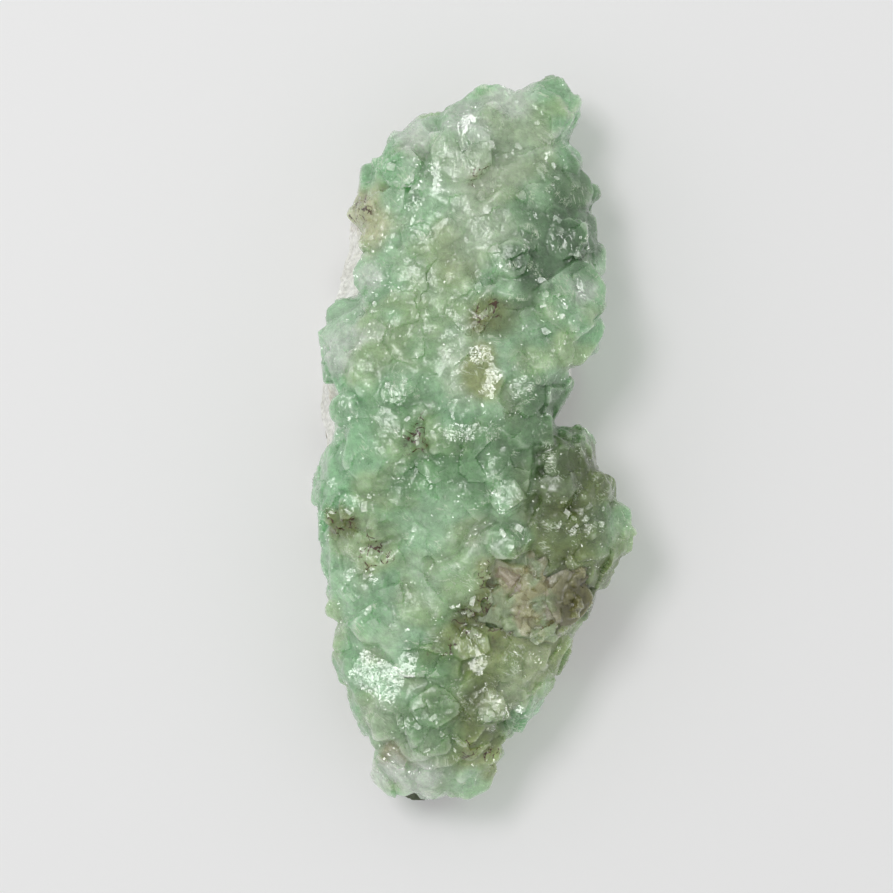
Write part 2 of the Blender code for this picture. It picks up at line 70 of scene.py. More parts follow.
# The crust's bed at stations along the cluster, in mm: y, left and right edge, and top.
STATIONS = np.array([
    (-60.0, -8.0, -3.8, 14.5), (-56.0, -10.5, 3.0, 15.5), (-50.0, -12.5, 7.0, 18.5),
    (-44.0, -14.5, 10.5, 20.5), (-36.0, -16.5, 14.5, 22.0), (-26.0, -18.0, 19.0, 23.0),
    (-16.0, -19.0, 25.0, 25.0), (-8.0, -19.5, 23.0, 27.0), (-1.0, -19.5, 18.5, 28.0),
    (5.0, -19.5, 14.0, 28.0), (12.0, -19.5, 16.0, 27.5), (20.0, -18.5, 20.0, 26.5),
    (27.0, -15.5, 19.0, 25.5), (35.0, -15.5, 20.0, 24.0), (43.0, -13.5, 18.5, 22.5),
    (50.0, -8.0, 17.5, 20.5), (56.0, 3.0, 17.0, 17.5), (60.0, 12.0, 16.5, 15.5),
])
Y, LEFT, RIGHT, TOP = STATIONS.T

BED_LOW = (8.0, 5.5)  # the crust's lower edge stands this high over the base, and at its ends
LOW_POWER = 4  # higher keeps those heights level until nearer to the ends
END_POWER = 6  # higher is blunter where the two ends close
SQUARENESS = 0.8  # lower is squarer across a section
END_THIN = 0.15  # higher thins the bed's sections more towards its ends
BED_POLE, EGG_POLE = 0.04, 0.06  # turn from a closed end to the first ring, in radians
ROOT = 4.5  # how far a crystal reaches below the bed's surface
PYRAMID_SLOPE = math.radians(60.5)  # between a pyramid face and the flat end
FLAT_WAY = Vector((-0.16, 0.14, 0.98))  # which way the level crystals' flat ends face
LEAN = math.radians(17)  # how far crystals lean away from the bed's outward direction
EDGE_LIMIT = 0.97  # how near to the bed's widest line a crystal may stand

# The cluster's main crystals in plan, in mm: x, y, half width, rise over the bed, how blunt the
# end is (0 a point, 1 a block), how far it turns from the bed (0) to the flat way (1), and for
# those that stand out the heading of their prism faces, in degrees.
TOP_END = [
    (14.8, 54.6, 5.0, 4.0, 0.9, 0.6, 62.0), (8.2, 53.8, 3.8, 2.7, 0.6, 0.2),
    (1.0, 47.8, 5.2, 3.8, 0.8, 0.3, 4.0), (-8.8, 45.0, 3.8, 3.8, 0.7, 0.3),
    (18.4, 50.9, 2.5, 2.9, 0.5, 0.3), (14.6, 47.2, 3.1, 3.6, 0.4, 0.5),
    (18.8, 46.4, 3.2, 2.6, 0.6, 0.1), (9.6, 46.6, 3.6, 2.7, 0.5, 0.2),
    (-6.8, 39.8, 2.1, 3.6, 0.9, 0.9, 30.0), (7.7, 38.4, 4.8, 4.5, 0.7, 0.3),
    (0.0, 39.4, 4.9, 3.6, 0.5, 0.2), (-15.4, 39.0, 3.9, 2.9, 0.6, 0.1),
    (-11.6, 34.4, 4.1, 3.1, 0.5, 0.1),
]
RIGHT_SHOULDER = [
    (19.8, 41.4, 4.8, 2.7, 0.4, 0.0), (15.4, 39.4, 3.6, 2.7, 0.3, 0.0),
    (19.0, 34.2, 5.1, 3.4, 0.6, 0.1), (9.3, 30.0, 3.4, 4.0, 0.8, 0.5),
    (4.6, 32.4, 3.2, 3.1, 0.4, 0.2), (5.2, 24.4, 3.6, 2.0, 0.3, 0.2),
    (16.9, 22.6, 6.3, 6.3, 0.8, 0.2, 38.0), (17.6, 18.2, 5.0, 5.2, 0.7, 0.2, 2.0),
    (13.4, 14.0, 4.3, 4.0, 0.6, 0.3), (23.2, 21.4, 3.4, 1.1, 0.6, 0.1),
    (10.8, 18.6, 4.1, 2.7, 0.5, 0.3),
]
MIDDLE = [
    (-3.8, 33.4, 4.3, 3.1, 0.4, 0.2), (-12.6, 27.2, 4.1, 3.1, 0.5, 0.1),
    (-6.0, 26.6, 5.0, 3.4, 0.5, 0.2), (0.6, 26.4, 3.8, 2.9, 0.4, 0.3),
    (1.6, 20.0, 3.8, 2.9, 0.4, 0.3), (-4.2, 19.4, 4.1, 3.4, 0.4, 0.1),
    (-11.4, 19.4, 4.8, 3.4, 0.5, 0.1), (-17.0, 15.6, 3.9, 2.5, 0.5, 0.0),
    (4.3, 14.8, 2.1, 4.6, 0.9, 1.0, 12.0), (5.8, 10.2, 2.6, 4.8, 0.9, 1.0, 62.0),
    (10.4, 9.6, 2.3, 4.2, 0.9, 0.9, 25.0), (9.6, 13.0, 2.5, 3.4, 0.4, 0.3),
    (-2.4, 12.6, 4.1, 2.9, 0.4, 0.2), (-8.5, 9.6, 3.4, 3.6, 0.5, 0.2),
    (-14.2, 9.4, 3.8, 3.1, 0.5, 0.1), (-18.0, 6.0, 3.6, 2.2, 0.5, 0.0),
    (3.6, 4.4, 4.6, 3.6, 0.4, 0.3), (-1.6, 1.2, 3.4, 4.7, 0.6, 0.8),
    (10.4, 1.4, 4.8, 4.0, 0.5, 0.2), (13.0, 6.2, 3.4, 2.5, 0.4, 0.1),
    (-9.0, 3.0, 3.6, 2.9, 0.4, 0.1), (-14.8, 1.6, 3.3, 3.1, 0.5, 0.2),
]
WAIST = [
    (-11.2, -3.8, 4.6, 3.6, 0.4, 0.2), (-3.6, -5.6, 4.3, 3.8, 0.4, 0.2),
    (3.2, -3.0, 3.9, 3.1, 0.4, 0.2), (8.2, -8.2, 2.7, 5.6, 0.8, 0.9, 35.0),
    (3.0, -9.8, 3.6, 3.4, 0.4, 0.3), (-17.4, -10.0, 3.2, 3.6, 0.6, 0.3),
    (-18.6, -4.6, 3.2, 2.5, 0.5, 0.1), (-10.4, -11.4, 3.6, 3.1, 0.5, 0.2),
    (-17.8, -16.4, 3.6, 2.7, 0.5, 0.1), (17.8, -3.2, 4.6, 3.6, 0.5, 0.1),
    (21.4, -7.8, 4.9, 3.4, 0.5, 0.1), (16.4, -8.0, 3.4, 4.3, 0.5, 0.4),
    (15.6, -13.8, 4.3, 3.6, 0.4, 0.3), (24.8, -14.4, 5.1, 3.8, 0.6, 0.1),
    (20.8, -17.4, 4.8, 4.0, 0.4, 0.2), (7.4, -15.6, 2.8, 4.0, 0.8, 0.5),
    (10.8, -15.0, 2.4, 3.6, 0.8, 0.5), (-2.8, -14.6, 5.0, 3.8, 0.4, 0.1),
    (-9.4, -18.6, 4.6, 3.6, 0.4, 0.1),
]
LOWER_LEFT = [
    (-15.4, -22.6, 4.1, 3.1, 0.5, 0.3), (0.6, -22.6, 5.1, 4.7, 0.5, 0.2),
    (-5.8, -26.4, 4.8, 4.0, 0.4, 0.1), (-13.8, -29.0, 5.0, 3.6, 0.5, 0.1),
    (-15.6, -35.0, 3.2, 2.9, 0.5, 0.2), (-8.8, -32.4, 4.1, 4.0, 0.5, 0.2),
    (-3.4, -33.6, 4.1, 4.0, 0.4, 0.1), (-13.4, -38.4, 4.3, 4.5, 0.9, 0.9, 28.0),
    (-9.0, -41.2, 3.9, 4.3, 0.7, 0.7), (-7.6, -36.6, 2.1, 5.6, 0.8, 1.0, 70.0),
    (-15.2, -42.0, 2.6, 1.8, 0.8, 0.1), (-10.2, -46.6, 3.7, 3.4, 0.6, 0.3),
    (-3.0, -42.4, 5.0, 4.7, 0.6, 0.2), (-7.2, -45.4, 2.3, 4.7, 0.7, 0.5),
]
LOWER_END = [
    (-4.0, -49.4, 4.4, 4.7, 0.7, 0.3), (-10.2, -52.2, 3.1, 2.7, 0.5, 0.2),
    (4.6, -42.8, 4.3, 4.0, 0.6, 0.3), (1.6, -48.0, 3.2, 3.6, 0.6, 0.3),
    (5.4, -48.2, 3.1, 2.9, 0.5, 0.2), (1.2, -52.2, 3.2, 2.5, 0.4, 0.2),
    (4.2, -51.4, 2.8, 2.0, 0.6, 0.1), (-6.0, -55.2, 3.4, 3.1, 0.6, 0.2),
    (9.6, -44.6, 2.5, 3.6, 0.5, 0.8, 80.0),
]
RIGHT_EDGE = [
    (3.6, -36.2, 2.3, 4.0, 0.8, 1.0, 55.0), (2.6, -31.6, 3.5, 2.9, 0.5, 0.3),
    (10.4, -36.6, 4.3, 3.4, 0.4, 0.1), (15.0, -35.2, 3.1, 2.7, 0.5, 0.1),
    (18.4, -28.6, 4.2, 3.1, 0.5, 0.1), (13.2, -31.0, 3.4, 2.7, 0.4, 0.2),
    (7.6, -32.4, 3.0, 2.9, 0.5, 0.4), (20.2, -22.8, 3.8, 2.7, 0.4, 0.2),
]
NARROW = (0.74, 1.0)  # a crystal's second width, in shares of the first
BOX_PLANES = [(1, 0, 0), (-1, 0, 0), (0, 1, 0), (0, -1, 0), (0, 0, 1), (0, 0, -1)]
PYRAMID_WAYS = np.radians(45 + 90 * np.arange(4))  # headings of the faces over a prism's edges
POINT_REACH, BLOCK_REACH = 0.12, 1.17  # half the flat end's diagonal on a point and on a block
UNEVEN = (0.72, 1.25)  # how much nearer or farther one pyramid face may lie

# Smaller crystals between the main ones, and those along the crust's two edges. Lengths are in
# mm, and rises in shares of the half width.
FILL_TRIES = 70  # places tried
FILL_MARGIN = 4.0  # from the cluster's two ends
FILL_HALF = (2.4, 3.6)
FILL_RISE = (0.7, 1.1)
FILL_BLUNT = (0.3, 0.8)
FILL_LEVEL = 0.1
FILL_SPACING = 0.62  # of the two half widths' sum, between a filling crystal and its neighbour
SIDE_STEP = 7.0
SIDE_SHIFT = 1.0
SIDE_MARGIN = 7.5  # from the cluster's two ends to the first of them
SIDE_TURN = (4.0, 34.0)  # how far round from the widest line towards the top, in degrees
SIDE_HALF = (2.6, 4.2)
SIDE_RISE = (0.3, 0.6)
SIDE_BLUNT = (0.4, 0.8)

PAINTED_SHADE_CORNER = (21.0, -26.0, 0.0)  # where the stilbite is darkest, in plan: painted shade towards its right edge
HOLLOW = (11.5, -24.0)  # the stilbite's hollow: its middle in plan, and its half sizes
HOLLOW_HALF = (9.0, 7.0)
HOLLOW_RISE = 5.0
HOLLOW_DEPTH = 9.0
OPENINGS = [(11.0, -20.5, 4.6, 3.0), (8.3, -24.6, 3.8, 3.6), (14.2, -24.4, 4.4, 3.4),
            (7.8, -28.6, 2.8, 2.6)]  # x, y and half sizes of the gaps

# Growth finer than the solid model has. Sizes are in mm, or in shares of the crystal they sit on.
CLEAN_LEVEL = 0.85  # a main crystal turned this far to the flat way keeps its end clean
CLEAN_SINK = 1.3  # and stands this much lower, as the finish draws the mirror there
BEVEL, STEP_BEVEL = 0.2, 0.12  # widths of the worn edges
WAVE_SIZE = 7.0  # of the waves on the bed, which are about 1 mm high
COARSE_VOXEL, VOXEL = 0.36, 0.27  # size of the even squares, before and after the calming
CHIP_SIZES = (5.0, 2.4, 0.9)  # coarse, middle and fine chips
CHIP_TILTS = (0.1, 0.1, 0.05, 0.06)  # how far they tilt, and what sparkling spots add to the fine
CREASE = math.radians(38)  # faces that meet at more than this keep a sharp edge
CRISP_SHARE = 0.8  # of their relief that the main crystals with a heading keep when calmed
CALM_PASSES, CALM_STEP = 110, 0.9  # more passes smooth out broader relief
REST_CALM, MOST_CALM = 0.2, 0.78  # shares of the relief taken away, in general and at the spots
CALM_FACING = (0.3, 0.4)  # none where the surface faces up less, and all where it does this much more
# Calm spots: x, y and radius.
CALM_SPOTS = [(-6, 29, 9), (-9, 20, 8), (2, 45, 6), (10, 52, 6), (-10, 12, 7), (-3, 9, 7), (-4, -11, 8),
              (3, -3, 6), (-3, -24, 6), (6, 36, 6), (-14, 2, 6), (12, -32, 6)]
MOST_FACES = 165000  # triangles that the crust is thinned to before its last growth
BED_LIFT = 2.6  # the gaps between the main crystals are filled this far up
LIFT_FROM, LIFT_TO = -50.0, -28.0  # half as far before the first place along, and all past the second
STEP_COUNT = (0, 3)  # crystals of the same stand on each main one
STEP_HALF = (0.3, 0.7)
STEP_RISE = (0.02, 0.2)
STEP_LEAN = math.radians(2)
BUD_COUNT = (0, 1)  # small crystals that lean at random
BUD_HALF = (0.4, 1.1)
BUD_RISE = (0.3, 0.8)
BUD_LEAN = math.radians(24)
SMALL_BLUNT = (0.3, 0.9)  # how blunt the ends of the steps and buds are
SMALL_ROOT = 1.0  # how far steps reach down from their places, and buds besides their half width
SPRINKLE_TRIES = 1500  # places tried for the last, smallest growth
SPRINKLE_REST = 0.04  # the chance there away from the sparkling spots
SPRINKLE_STEEP = 0.35  # no growth where the surface faces up less than this
SPRINKLE_DENSE = 1.0  # how many there are round a sparkling spot, for each square mm of its radius
GLINT_SHARE = 0.8  # flat ends that glint, the others being small crystals
GLINT_HALF = (0.12, 0.9)
GLINT_NARROW = (0.3, 1.0)
GLINT_RISE = (0.05, 0.3)
GLINT_LEAN = math.radians(3)
GLINT_BLUNT = (0.5, 1.0)
GLINT_ROOT = 0.8
CHIP_HALF = (0.3, 0.9)
CHIP_RISE = (0.02, 0.12)
CHIP_LEAN = math.radians(9)
# Sparkling spots: x, y and radius.
SPARKLE_SPOTS = [(18.5, 34.0, 4.5), (-8.8, 45.0, 3.5), (-0.2, 1.8, 3.5), (-10.2, 8.2, 3.0),
                 (8.0, -8.5, 3.0), (1.5, -27.0, 2.5), (-13.4, -39.0, 2.5), (15.0, 22.0, 5.0),
                 (-7.0, 41.0, 2.5), (22.0, -13.0, 4.0), (-15.0, -20.0, 3.5), (5.0, -44.0, 4.0),
                 (-4.0, -48.0, 3.5), (15.0, 47.0, 3.0), (10.0, 9.0, 2.5), (9.0, -16.0, 3.0),
                 (-17.0, -9.0, 2.5), (-6.0, 34.0, 2.5), (3.0, 24.0, 2.0), (-13.0, 24.0, 2.0)]
PLATE_TRIES = 260  # low, broad crystals that the gaps are filled with
PLATE_HALF = (2.2, 5.0)
PLATE_RISE = (2.6, 3.9)
PLATE_LEAN = math.radians(8)
PLATE_BLUNT = (0.4, 0.9)

# The rock's roughness in mm: sizes and heights of its lumps and grains, how far both are sunk,
# and the height over the base at which they are whole.
ROCK_LUMPS, ROCK_GRAINS = (3.0, 0.35), (1.3, 0.4)
ROCK_SINK, ROCK_FADE = 0.3, 1.5

# What the finish follows on each face and at each point.
END_FACE = 0.92  # a face whose direction is this near to its crystal's axis is the flat end
GRAIN_STEP = 7.3  # mm that the grain moves on from one crystal to the next
TINT_BEND = {"size": 5.0, "most": 2.6, "seed": 11, "octaves": 2}  # of the colour spots' plan
MIRROR_FRAY = {"size": 1.2, "most": 0.42, "seed": 15, "octaves": 3}  # of the mirrors' edges

# The stilbite's sheaves. Sizes are in mm.
PATCH_VOXEL, PATCH_FACES = 0.22, 30000
FAN_COUNT = 30
BLOCK_COUNT = 14  # blocky crystals among them
BLOCK_HALF = (1.3, 2.8)
BLOCK_RISE = (2.2, 3.3)
FAN_BLADES = 5
FAN_SEED = 10
FAN_REACH = 0.86  # of the hollow's half sizes, from its middle to the outermost sheaf's foot
FAN_LIFT = 0.4  # the sheaves' feet lie this high over the crust's bed
FAN_LEAN = math.radians(62)
FAN_SPREAD = math.radians(16)  # from blade to blade
BLADE_SIZE = (0.7, 1.6, 3.9)  # half thickness, half width and length
BLADE_POINT = math.radians(52)
MOUND = (1.25, 2.8)  # the bed under them: its reach in shares of the hollow's, and its half height

# Crystals that stand out of the calmed crust: x, y, half width, second half width, rise over the
# surface, how far the end turns to the flat way, heading in degrees, and how blunt the end is.
STANDING = [
    (8.2, -8.5, 2.7, 2.3, 0.9, 0.8, 35, 0.8), (-10.2, 8.2, 2.0, 1.7, 0.6, 0.8, 15, 0.7),
    (9.1, 30.3, 3.3, 3.0, 0.7, 0.5, 20, 0.8), (7.3, -16.6, 2.4, 2.2, 0.7, 0.4, 0, 0.8),
    (10.2, -15.0, 2.0, 1.8, 0.6, 0.4, 40, 0.8), (-7.7, -45.6, 2.2, 2.1, 0.8, 0.5, 10, 0.8),
    (-3.6, -43.5, 3.6, 3.2, 1.0, 0.4, 35, 0.7), (-4.3, -49.2, 3.2, 2.6, 0.9, 0.4, 10, 0.8),
    (-11.5, -46.8, 3.0, 2.6, 0.7, 0.3, 50, 0.7), (-10.6, -52.4, 3.0, 2.6, 0.8, 0.2, 70, 0.7),
    (4.7, -43.0, 3.4, 3.0, 0.9, 0.4, 15, 0.7), (5.5, -51.5, 2.2, 2.0, 0.7, 0.3, 30, 0.7),
    (1.8, -47.6, 2.6, 2.3, 0.8, 0.4, 60, 0.8), (0.9, 48.0, 5.0, 4.6, 0.7, 0.5, 4, 0.85),
    (-17.2, -10.2, 2.2, 2.1, 0.7, 0.3, 10, 0.8), (20.0, -25.5, 2.4, 2.1, 0.7, 0.1, 30, 0.6),
    (16.8, -29.6, 2.6, 2.2, 0.8, 0.2, 55, 0.6), (13.6, -35.5, 2.6, 2.2, 0.8, 0.2, 25, 0.6),
    (-9.0, 45.6, 3.2, 2.8, 0.6, 0.3, 35, 0.8), (14.8, 54.6, 4.2, 3.6, 0.7, 0.5, 62, 0.85),
    (18.2, 34.0, 3.6, 3.2, 0.7, 0.3, 20, 0.7), (2.3, -32.7, 3.0, 2.6, 0.7, 0.4, 15, 0.7),
    (-13.5, -30.0, 3.6, 3.0, 0.7, 0.4, 40, 0.7),
]
# Flat ends that mirror the key, which the finish draws: x, y, half sizes, heading in degrees,
# and how whole they are.
MIRRORS = [
    (4.3, 14.8, 2.0, 1.8, 12, 0.58), (2.4, 15.9, 0.8, 0.5, 40, 0.6), (5.7, 10.3, 1.3, 2.7, -25, 0.8),
    (10.6, 9.5, 2.2, 1.6, 30, 0.5), (-6.8, 39.8, 2.0, 1.4, 30, 0.5), (-3.3, 44.0, 0.9, 3.0, 8, 0.64),
    (1.6, 53.0, 1.2, 2.4, -35, 0.64), (20.8, 25.8, 0.9, 2.0, 5, 0.55),
    (-13.0, -38.6, 4.6, 3.2, -28, 0.66), (-7.8, -36.5, 1.4, 2.3, -10, 0.7),
    (-18.0, -21.8, 1.3, 1.0, 20, 0.56), (-13.5, -22.3, 1.2, 0.9, 60, 0.55),
    (9.4, -44.6, 1.5, 1.8, 80, 0.56), (3.7, -36.2, 1.5, 2.0, -20, 0.68),
    (15.3, 48.0, 0.6, 1.1, -30, 0.6), (-4.7, 21.5, 0.4, 0.9, 10, 0.6), (-3.2, 13.2, 0.5, 1.3, 0, 0.58),
    (-20.0, -7.2, 1.0, 1.6, 30, 0.52), (19.0, 50.6, 1.0, 1.0, 0, 0.52), (8.2, -8.5, 2.6, 2.4, 35, 0.49),
    (-10.2, 8.2, 2.4, 1.8, 15, 0.47), (1.0, 1.9, 2.6, 1.8, 0, 0.54), (-17.2, -9.8, 1.8, 1.6, 0, 0.46),
    (17.4, 33.4, 2.4, 2.4, 0, 0.44),
]
# Flakes: the width of their cells in mm, the share of cells that stay dull, and the pattern.
FLAKES = [(0.42, 0.995, 0.0), (0.2, 0.991, 3.0)]
# Stretches of the rock's edges that stay bare: from y to y, left limit and right limit.
BARE = [(20.0, 36.0, -16.8, 99.0), (-4.0, 17.0, -21.5, 99.0), (1.0, 8.0, -99.0, 16.8)]
# Where the crust's colour differs: a colour, how much of it, and spots as x, y and radius in mm.
# The darker greens at spots on the right side are partly the crystals' deeper green and partly painted
# shade, as the light falls off towards the right.
TONES_AND_PAINTED_LIGHT = [
    ("#B2C2A6", 0.7, [(11, 50, 7), (4.5, 35.5, 8), (-6, -53.5, 8), (-12, -48, 5), (2, 13, 6.5),
                      (7, -16.5, 5), (3, 45.5, 8), (6, 42, 4)]),
    ("#C4C29E", 0.8, [(-15.8, 37.5, 6.5)]),
    ("#A3AC7A", 0.5, [(-9.5, 1, 6), (-15.5, -15.5, 6.5), (-3, 30, 6), (6.5, -22.5, 4)]),
    ("#97A060", 0.75, [(3, -50.5, 5.5), (1.5, -32.5, 7), (13.5, -33, 9), (5, 12, 4)]),
    ("#6C9863", 0.65, [(3, -3.5, 9), (-7.5, -5, 6), (-3.5, -47, 6.5), (-4, -36, 5)]),
    ("#66885F", 0.85, [(19.5, 38, 9.5), (10.5, 1.5, 7.5), (16, 6, 6), (12, 29, 5), (18, -3, 6.5)]),
    ("#5C6E3C", 0.7, [(16.8, -5.6, 7), (20.5, -8.5, 6), (22.8, -3, 4)]),
    ("#A09A76", 0.8, [(-11.5, -52.2, 3)]),
    ("#687638", 0.78, [(7, 21.5, 5.5), (5, -40, 5), (4.5, -44, 5.5), (22, -6, 8),
                      (21.5, -22, 8.5), (16.5, -14.5, 7.5), (5.8, -27.5, 5), (-19.2, -11.5, 3)]),
    ("#4E6E4C", 0.68, [(20, 36, 7), (12, 29.5, 5)]),
    ("#3F5A34", 0.45, [(18.2, -4.6, 6)]),
    ("#5A6040", 0.8, [(21.5, -26.5, 4)]),
    ("#84AC80", 0.7, [(-10, 5.5, 6.5), (-5, 14, 4.5), (4, -7, 5), (9.5, -16, 4)]),
    # The pale spot at 21, 26 is a painted highlight: the whitish sheen on the big crystal's corner.
    ("#D2DCD0", 0.8, [(-18, 17.5, 5), (-16, 27, 4), (-6, 51, 5), (10, 58.5, 5), (3, 54.5, 4),
                      (-11.5, -55, 3.5), (-7, -58, 4), (21, 26, 2.5)]),
    ("#B2BE98", 0.7, [(10, -42.5, 4), (13, -38, 3.5)]),
    ("#B8D6B8", 0.6, [(-11, -32, 5), (-7, -22, 4)]),
]
# Translucent brown stains: x, y and radius in mm.
STAINS = [(-15.2, 38.5, 2.2), (6.5, 21.5, 3.2), (5.2, 42.2, 1.8), (-8.5, 0.5, 2.6), (-14.6, -17.5, 3),
          (0, -33.6, 2.2), (5.8, -27.5, 4), (6.5, -22.5, 3.2), (4, -51, 2.2), (-19.2, -11.5, 2.4)]

# Light and camera. The view is straight down: its width and its middle, in mm, and the height at
# which it is that wide. Distances and sizes of the key and the camera are in m.
SURROUND = 0.62
KEY_SIZE, KEY_AWAY, KEY_WATTS = 0.3, 1.1, 3.4
VIEW_WIDTH, VIEW_MIDDLE, VIEW_HEIGHT = 148.8, (-4.75, -0.64), 20
CAMERA_AWAY, SENSOR = 0.6, 36.0


def section(y):
    """Middle and half sizes of the bed's section at y: x middle, x half, z middle, z half."""
    along = (2 * y - (Y[0] + Y[-1])) / (Y[-1] - Y[0])
    x0, x1, z1 = (np.interp(y, Y, side) for side in (LEFT, RIGHT, TOP))
    z0 = BED_LOW[0] + (BED_LOW[1] - BED_LOW[0]) * along ** LOW_POWER
    close = np.maximum(1 - abs(along) ** END_POWER, 0.0) ** (1 / END_POWER)
    return (x0 + x1) / 2, close * (x1 - x0) / 2, (z0 + z1) / 2, close * (z1 - z0) / 2


def bed_point(y, across, up):
    """A point of the bed's section at y, given in shares of its half sizes, and its outward way."""
    x_mid, x_half, z_mid, z_half = section(y)
    power = 2 / SQUARENESS - 1
    ahead, behind = section(y + 1), section(y - 1)
    out = Vector((math.copysign(abs(across) ** power, across) / x_half, 0, up ** power / z_half))
    out.normalize()
    out.y = (behind[1] - ahead[1]) / 2 * abs(across) + (behind[3] - ahead[3]) / 2 * up
    return Vector((x_mid + x_half * across, y, z_mid + z_half * up)), out.normalized()


def bed_at(x, y):
    """The point of the crust's bed at x, y in plan, and its outward direction."""
    x_mid, x_half, _, _ = section(y)
    across = min(max((x - x_mid) / x_half, -EDGE_LIMIT), EDGE_LIMIT)
    power = 2 / SQUARENESS
    return bed_point(y, across, (1 - abs(across) ** power) ** (1 / power))


def bed_side(y, turn):
    """The point of the crust's bed at a turn round its section, 0 at the right and 90 on top."""
    across, up = math.cos(math.radians(turn)), math.sin(math.radians(turn))
    across = math.copysign(abs(across) ** SQUARENESS, across)
    return bed_point(y, across, up ** SQUARENESS)


def upright(way):
    """The turn that takes straight up to a way."""
    return Vector((0, 0, 1)).rotation_difference(way).to_matrix()


def tilted(lean, spin, rng):
    """A turn that leans by about lean and spins by up to spin, both at random."""
    return Euler((rng.gauss(0, lean), rng.gauss(0, lean), rng.uniform(0, spin))).to_matrix()


def stand(out, level, spin, rng):
    """A turn that stands a crystal along the bed's outward direction, or nearer to the flat way."""
    tilt = tilted(LEAN * (1 - level), math.pi / 2, rng)
    if spin is not None:
        tilt = Euler((0, 0, math.radians(spin))).to_matrix()
    return upright(out.lerp(FLAT_WAY, level).normalized()) @ tilt


def in_hollow(x, y):
    """Whether a point in plan lies over the stilbite's hollow."""
    return ((x - HOLLOW[0]) / HOLLOW_HALF[0]) ** 2 + ((y - HOLLOW[1]) / HOLLOW_HALF[1]) ** 2 < 1


def all_crystals():
    """Main crystals, smaller ones between them, and those along the crust's two edges.

    Each one: its place on the bed, the outward direction there, and the rest of its row in the
    tables from the half width on, with None for a heading left open.
    """
    rows = TOP_END + RIGHT_SHOULDER + MIDDLE + WAIST + LOWER_LEFT + LOWER_END + RIGHT_EDGE
    rng = random.Random(SEED)
    for _ in range(FILL_TRIES):
        y = rng.uniform(Y[0] + FILL_MARGIN, Y[-1] - FILL_MARGIN)
        x_mid, x_half, _, _ = section(y)
        x = x_mid + x_half * rng.uniform(-1, 1)
        half = rng.uniform(*FILL_HALF)
        rise = half * rng.uniform(*FILL_RISE)
        row = (x, y, half, rise, rng.uniform(*FILL_BLUNT), FILL_LEVEL, None)
        clear = all(math.hypot(x - other[0], y - other[1]) > FILL_SPACING * (half + other[2])
                    for other in rows)
        if clear and not in_hollow(x, y):
            rows = rows + [row]
    crystals = [bed_at(*row[:2]) + (row[2:] + (None,))[:5] for row in rows]
    y = Y[0] + SIDE_MARGIN
    while y < Y[-1] - SIDE_MARGIN:
        for side in (0, 180):
            turn = abs(side - rng.uniform(*SIDE_TURN))
            half = rng.uniform(*SIDE_HALF)
            shape = (half, half * rng.uniform(*SIDE_RISE), rng.uniform(*SIDE_BLUNT), 0.0, None)
            crystals.append(bed_side(y + SIDE_SHIFT * rng.uniform(-1, 1), turn) + shape)
        y += SIDE_STEP
    return crystals


class Growth:
    """The crystals gathered for one union: where each stands, its turn and its face planes."""

    def __init__(self):
        self.place, self.turn, self.sizes, self.reach, self.bevel = [], [], [], [], []
        self.clean, self.crisp = [], []

    def add(self, place, turn, sizes, reach, bevel=0.0):
        """One crystal: sizes are half width, second half width, rise and root."""
        self.place.append(np.array(place))
        self.turn.append(np.array(turn))
        self.sizes.append(sizes)
        self.reach.append(reach)
        self.bevel.append(bevel)

    def top_at(self, number, u, v):
        """Height of a crystal's surface over its foot at u, v: the lowest of its upper planes."""
        rise = self.sizes[number][2]
        over = u * np.cos(PYRAMID_WAYS) + v * np.sin(PYRAMID_WAYS) - np.array(self.reach[number])
        return min(rise, (rise - math.tan(PYRAMID_SLOPE) * over).min())

    def spots(self, mains, count, reach, rng):
        """Random spots on the main crystals but for the clean ones: a crystal's number, u and v."""
        for number in range(mains):
            half, narrow, _, _ = self.sizes[number]
            for _ in range(0 if self.clean[number] else rng.randint(*count)):
                yield number, half * rng.uniform(-reach, reach), narrow * rng.uniform(-reach, reach)

    def on(self, number, spot, tilt):
        """The place and the turn of a crystal that stands on another one, tilted against it."""
        turn = self.turn[number]
        return self.place[number] + turn @ spot, Matrix(turn.tolist()) @ tilt


def bare(point, half):
    """Whether a crystal would hide the rock's edges that are left bare."""
    return any(low < point.y < high and (point.x - half < left or point.x + half > right)
               for low, high, left, right in BARE)


def random_reach(half, blunt, rng):
    """How far the four pyramid faces lie from the axis at the flat end."""
    spread = POINT_REACH + (BLOCK_REACH - POINT_REACH) * blunt
    return [spread * half * rng.uniform(*UNEVEN) for _ in range(4)]


def grow_mains(growth):
    """The solid model's crystals, by the same draws."""
    for point, out, half, rise, blunt, level, spin in all_crystals():
        if bare(point, half):
            continue
        rng = random.Random(SEED + round(10 * point.x) + 1000 * round(10 * point.y))
        narrow = half * rng.uniform(*NARROW)
        reach = random_reach(half, blunt, rng)
        clean = level > CLEAN_LEVEL
        turn = stand(out, level, spin, rng)
        growth.add(point, turn, (half, narrow, rise - CLEAN_SINK * clean, ROOT), reach, BEVEL)
        growth.clean.append(clean)
        growth.crisp.append(spin is not None)


def grow_steps(growth, mains, rng):
    """Crystals of nearly the same stand on the main ones, which leave steps on their faces."""
    for number, u, v in growth.spots(mains, STEP_COUNT, 0.9, rng):
        side = growth.sizes[number][0] * rng.uniform(*STEP_HALF)
        rise = growth.top_at(number, u, v) + side * rng.uniform(*STEP_RISE)
        tilt = Euler([rng.gauss(0, STEP_LEAN) for _ in range(3)]).to_matrix()
        sizes = (side, side * rng.uniform(*NARROW), rise, SMALL_ROOT)
        growth.add(*growth.on(number, (u, v, 0), tilt), sizes,
                   random_reach(side, rng.uniform(*SMALL_BLUNT), rng), STEP_BEVEL)


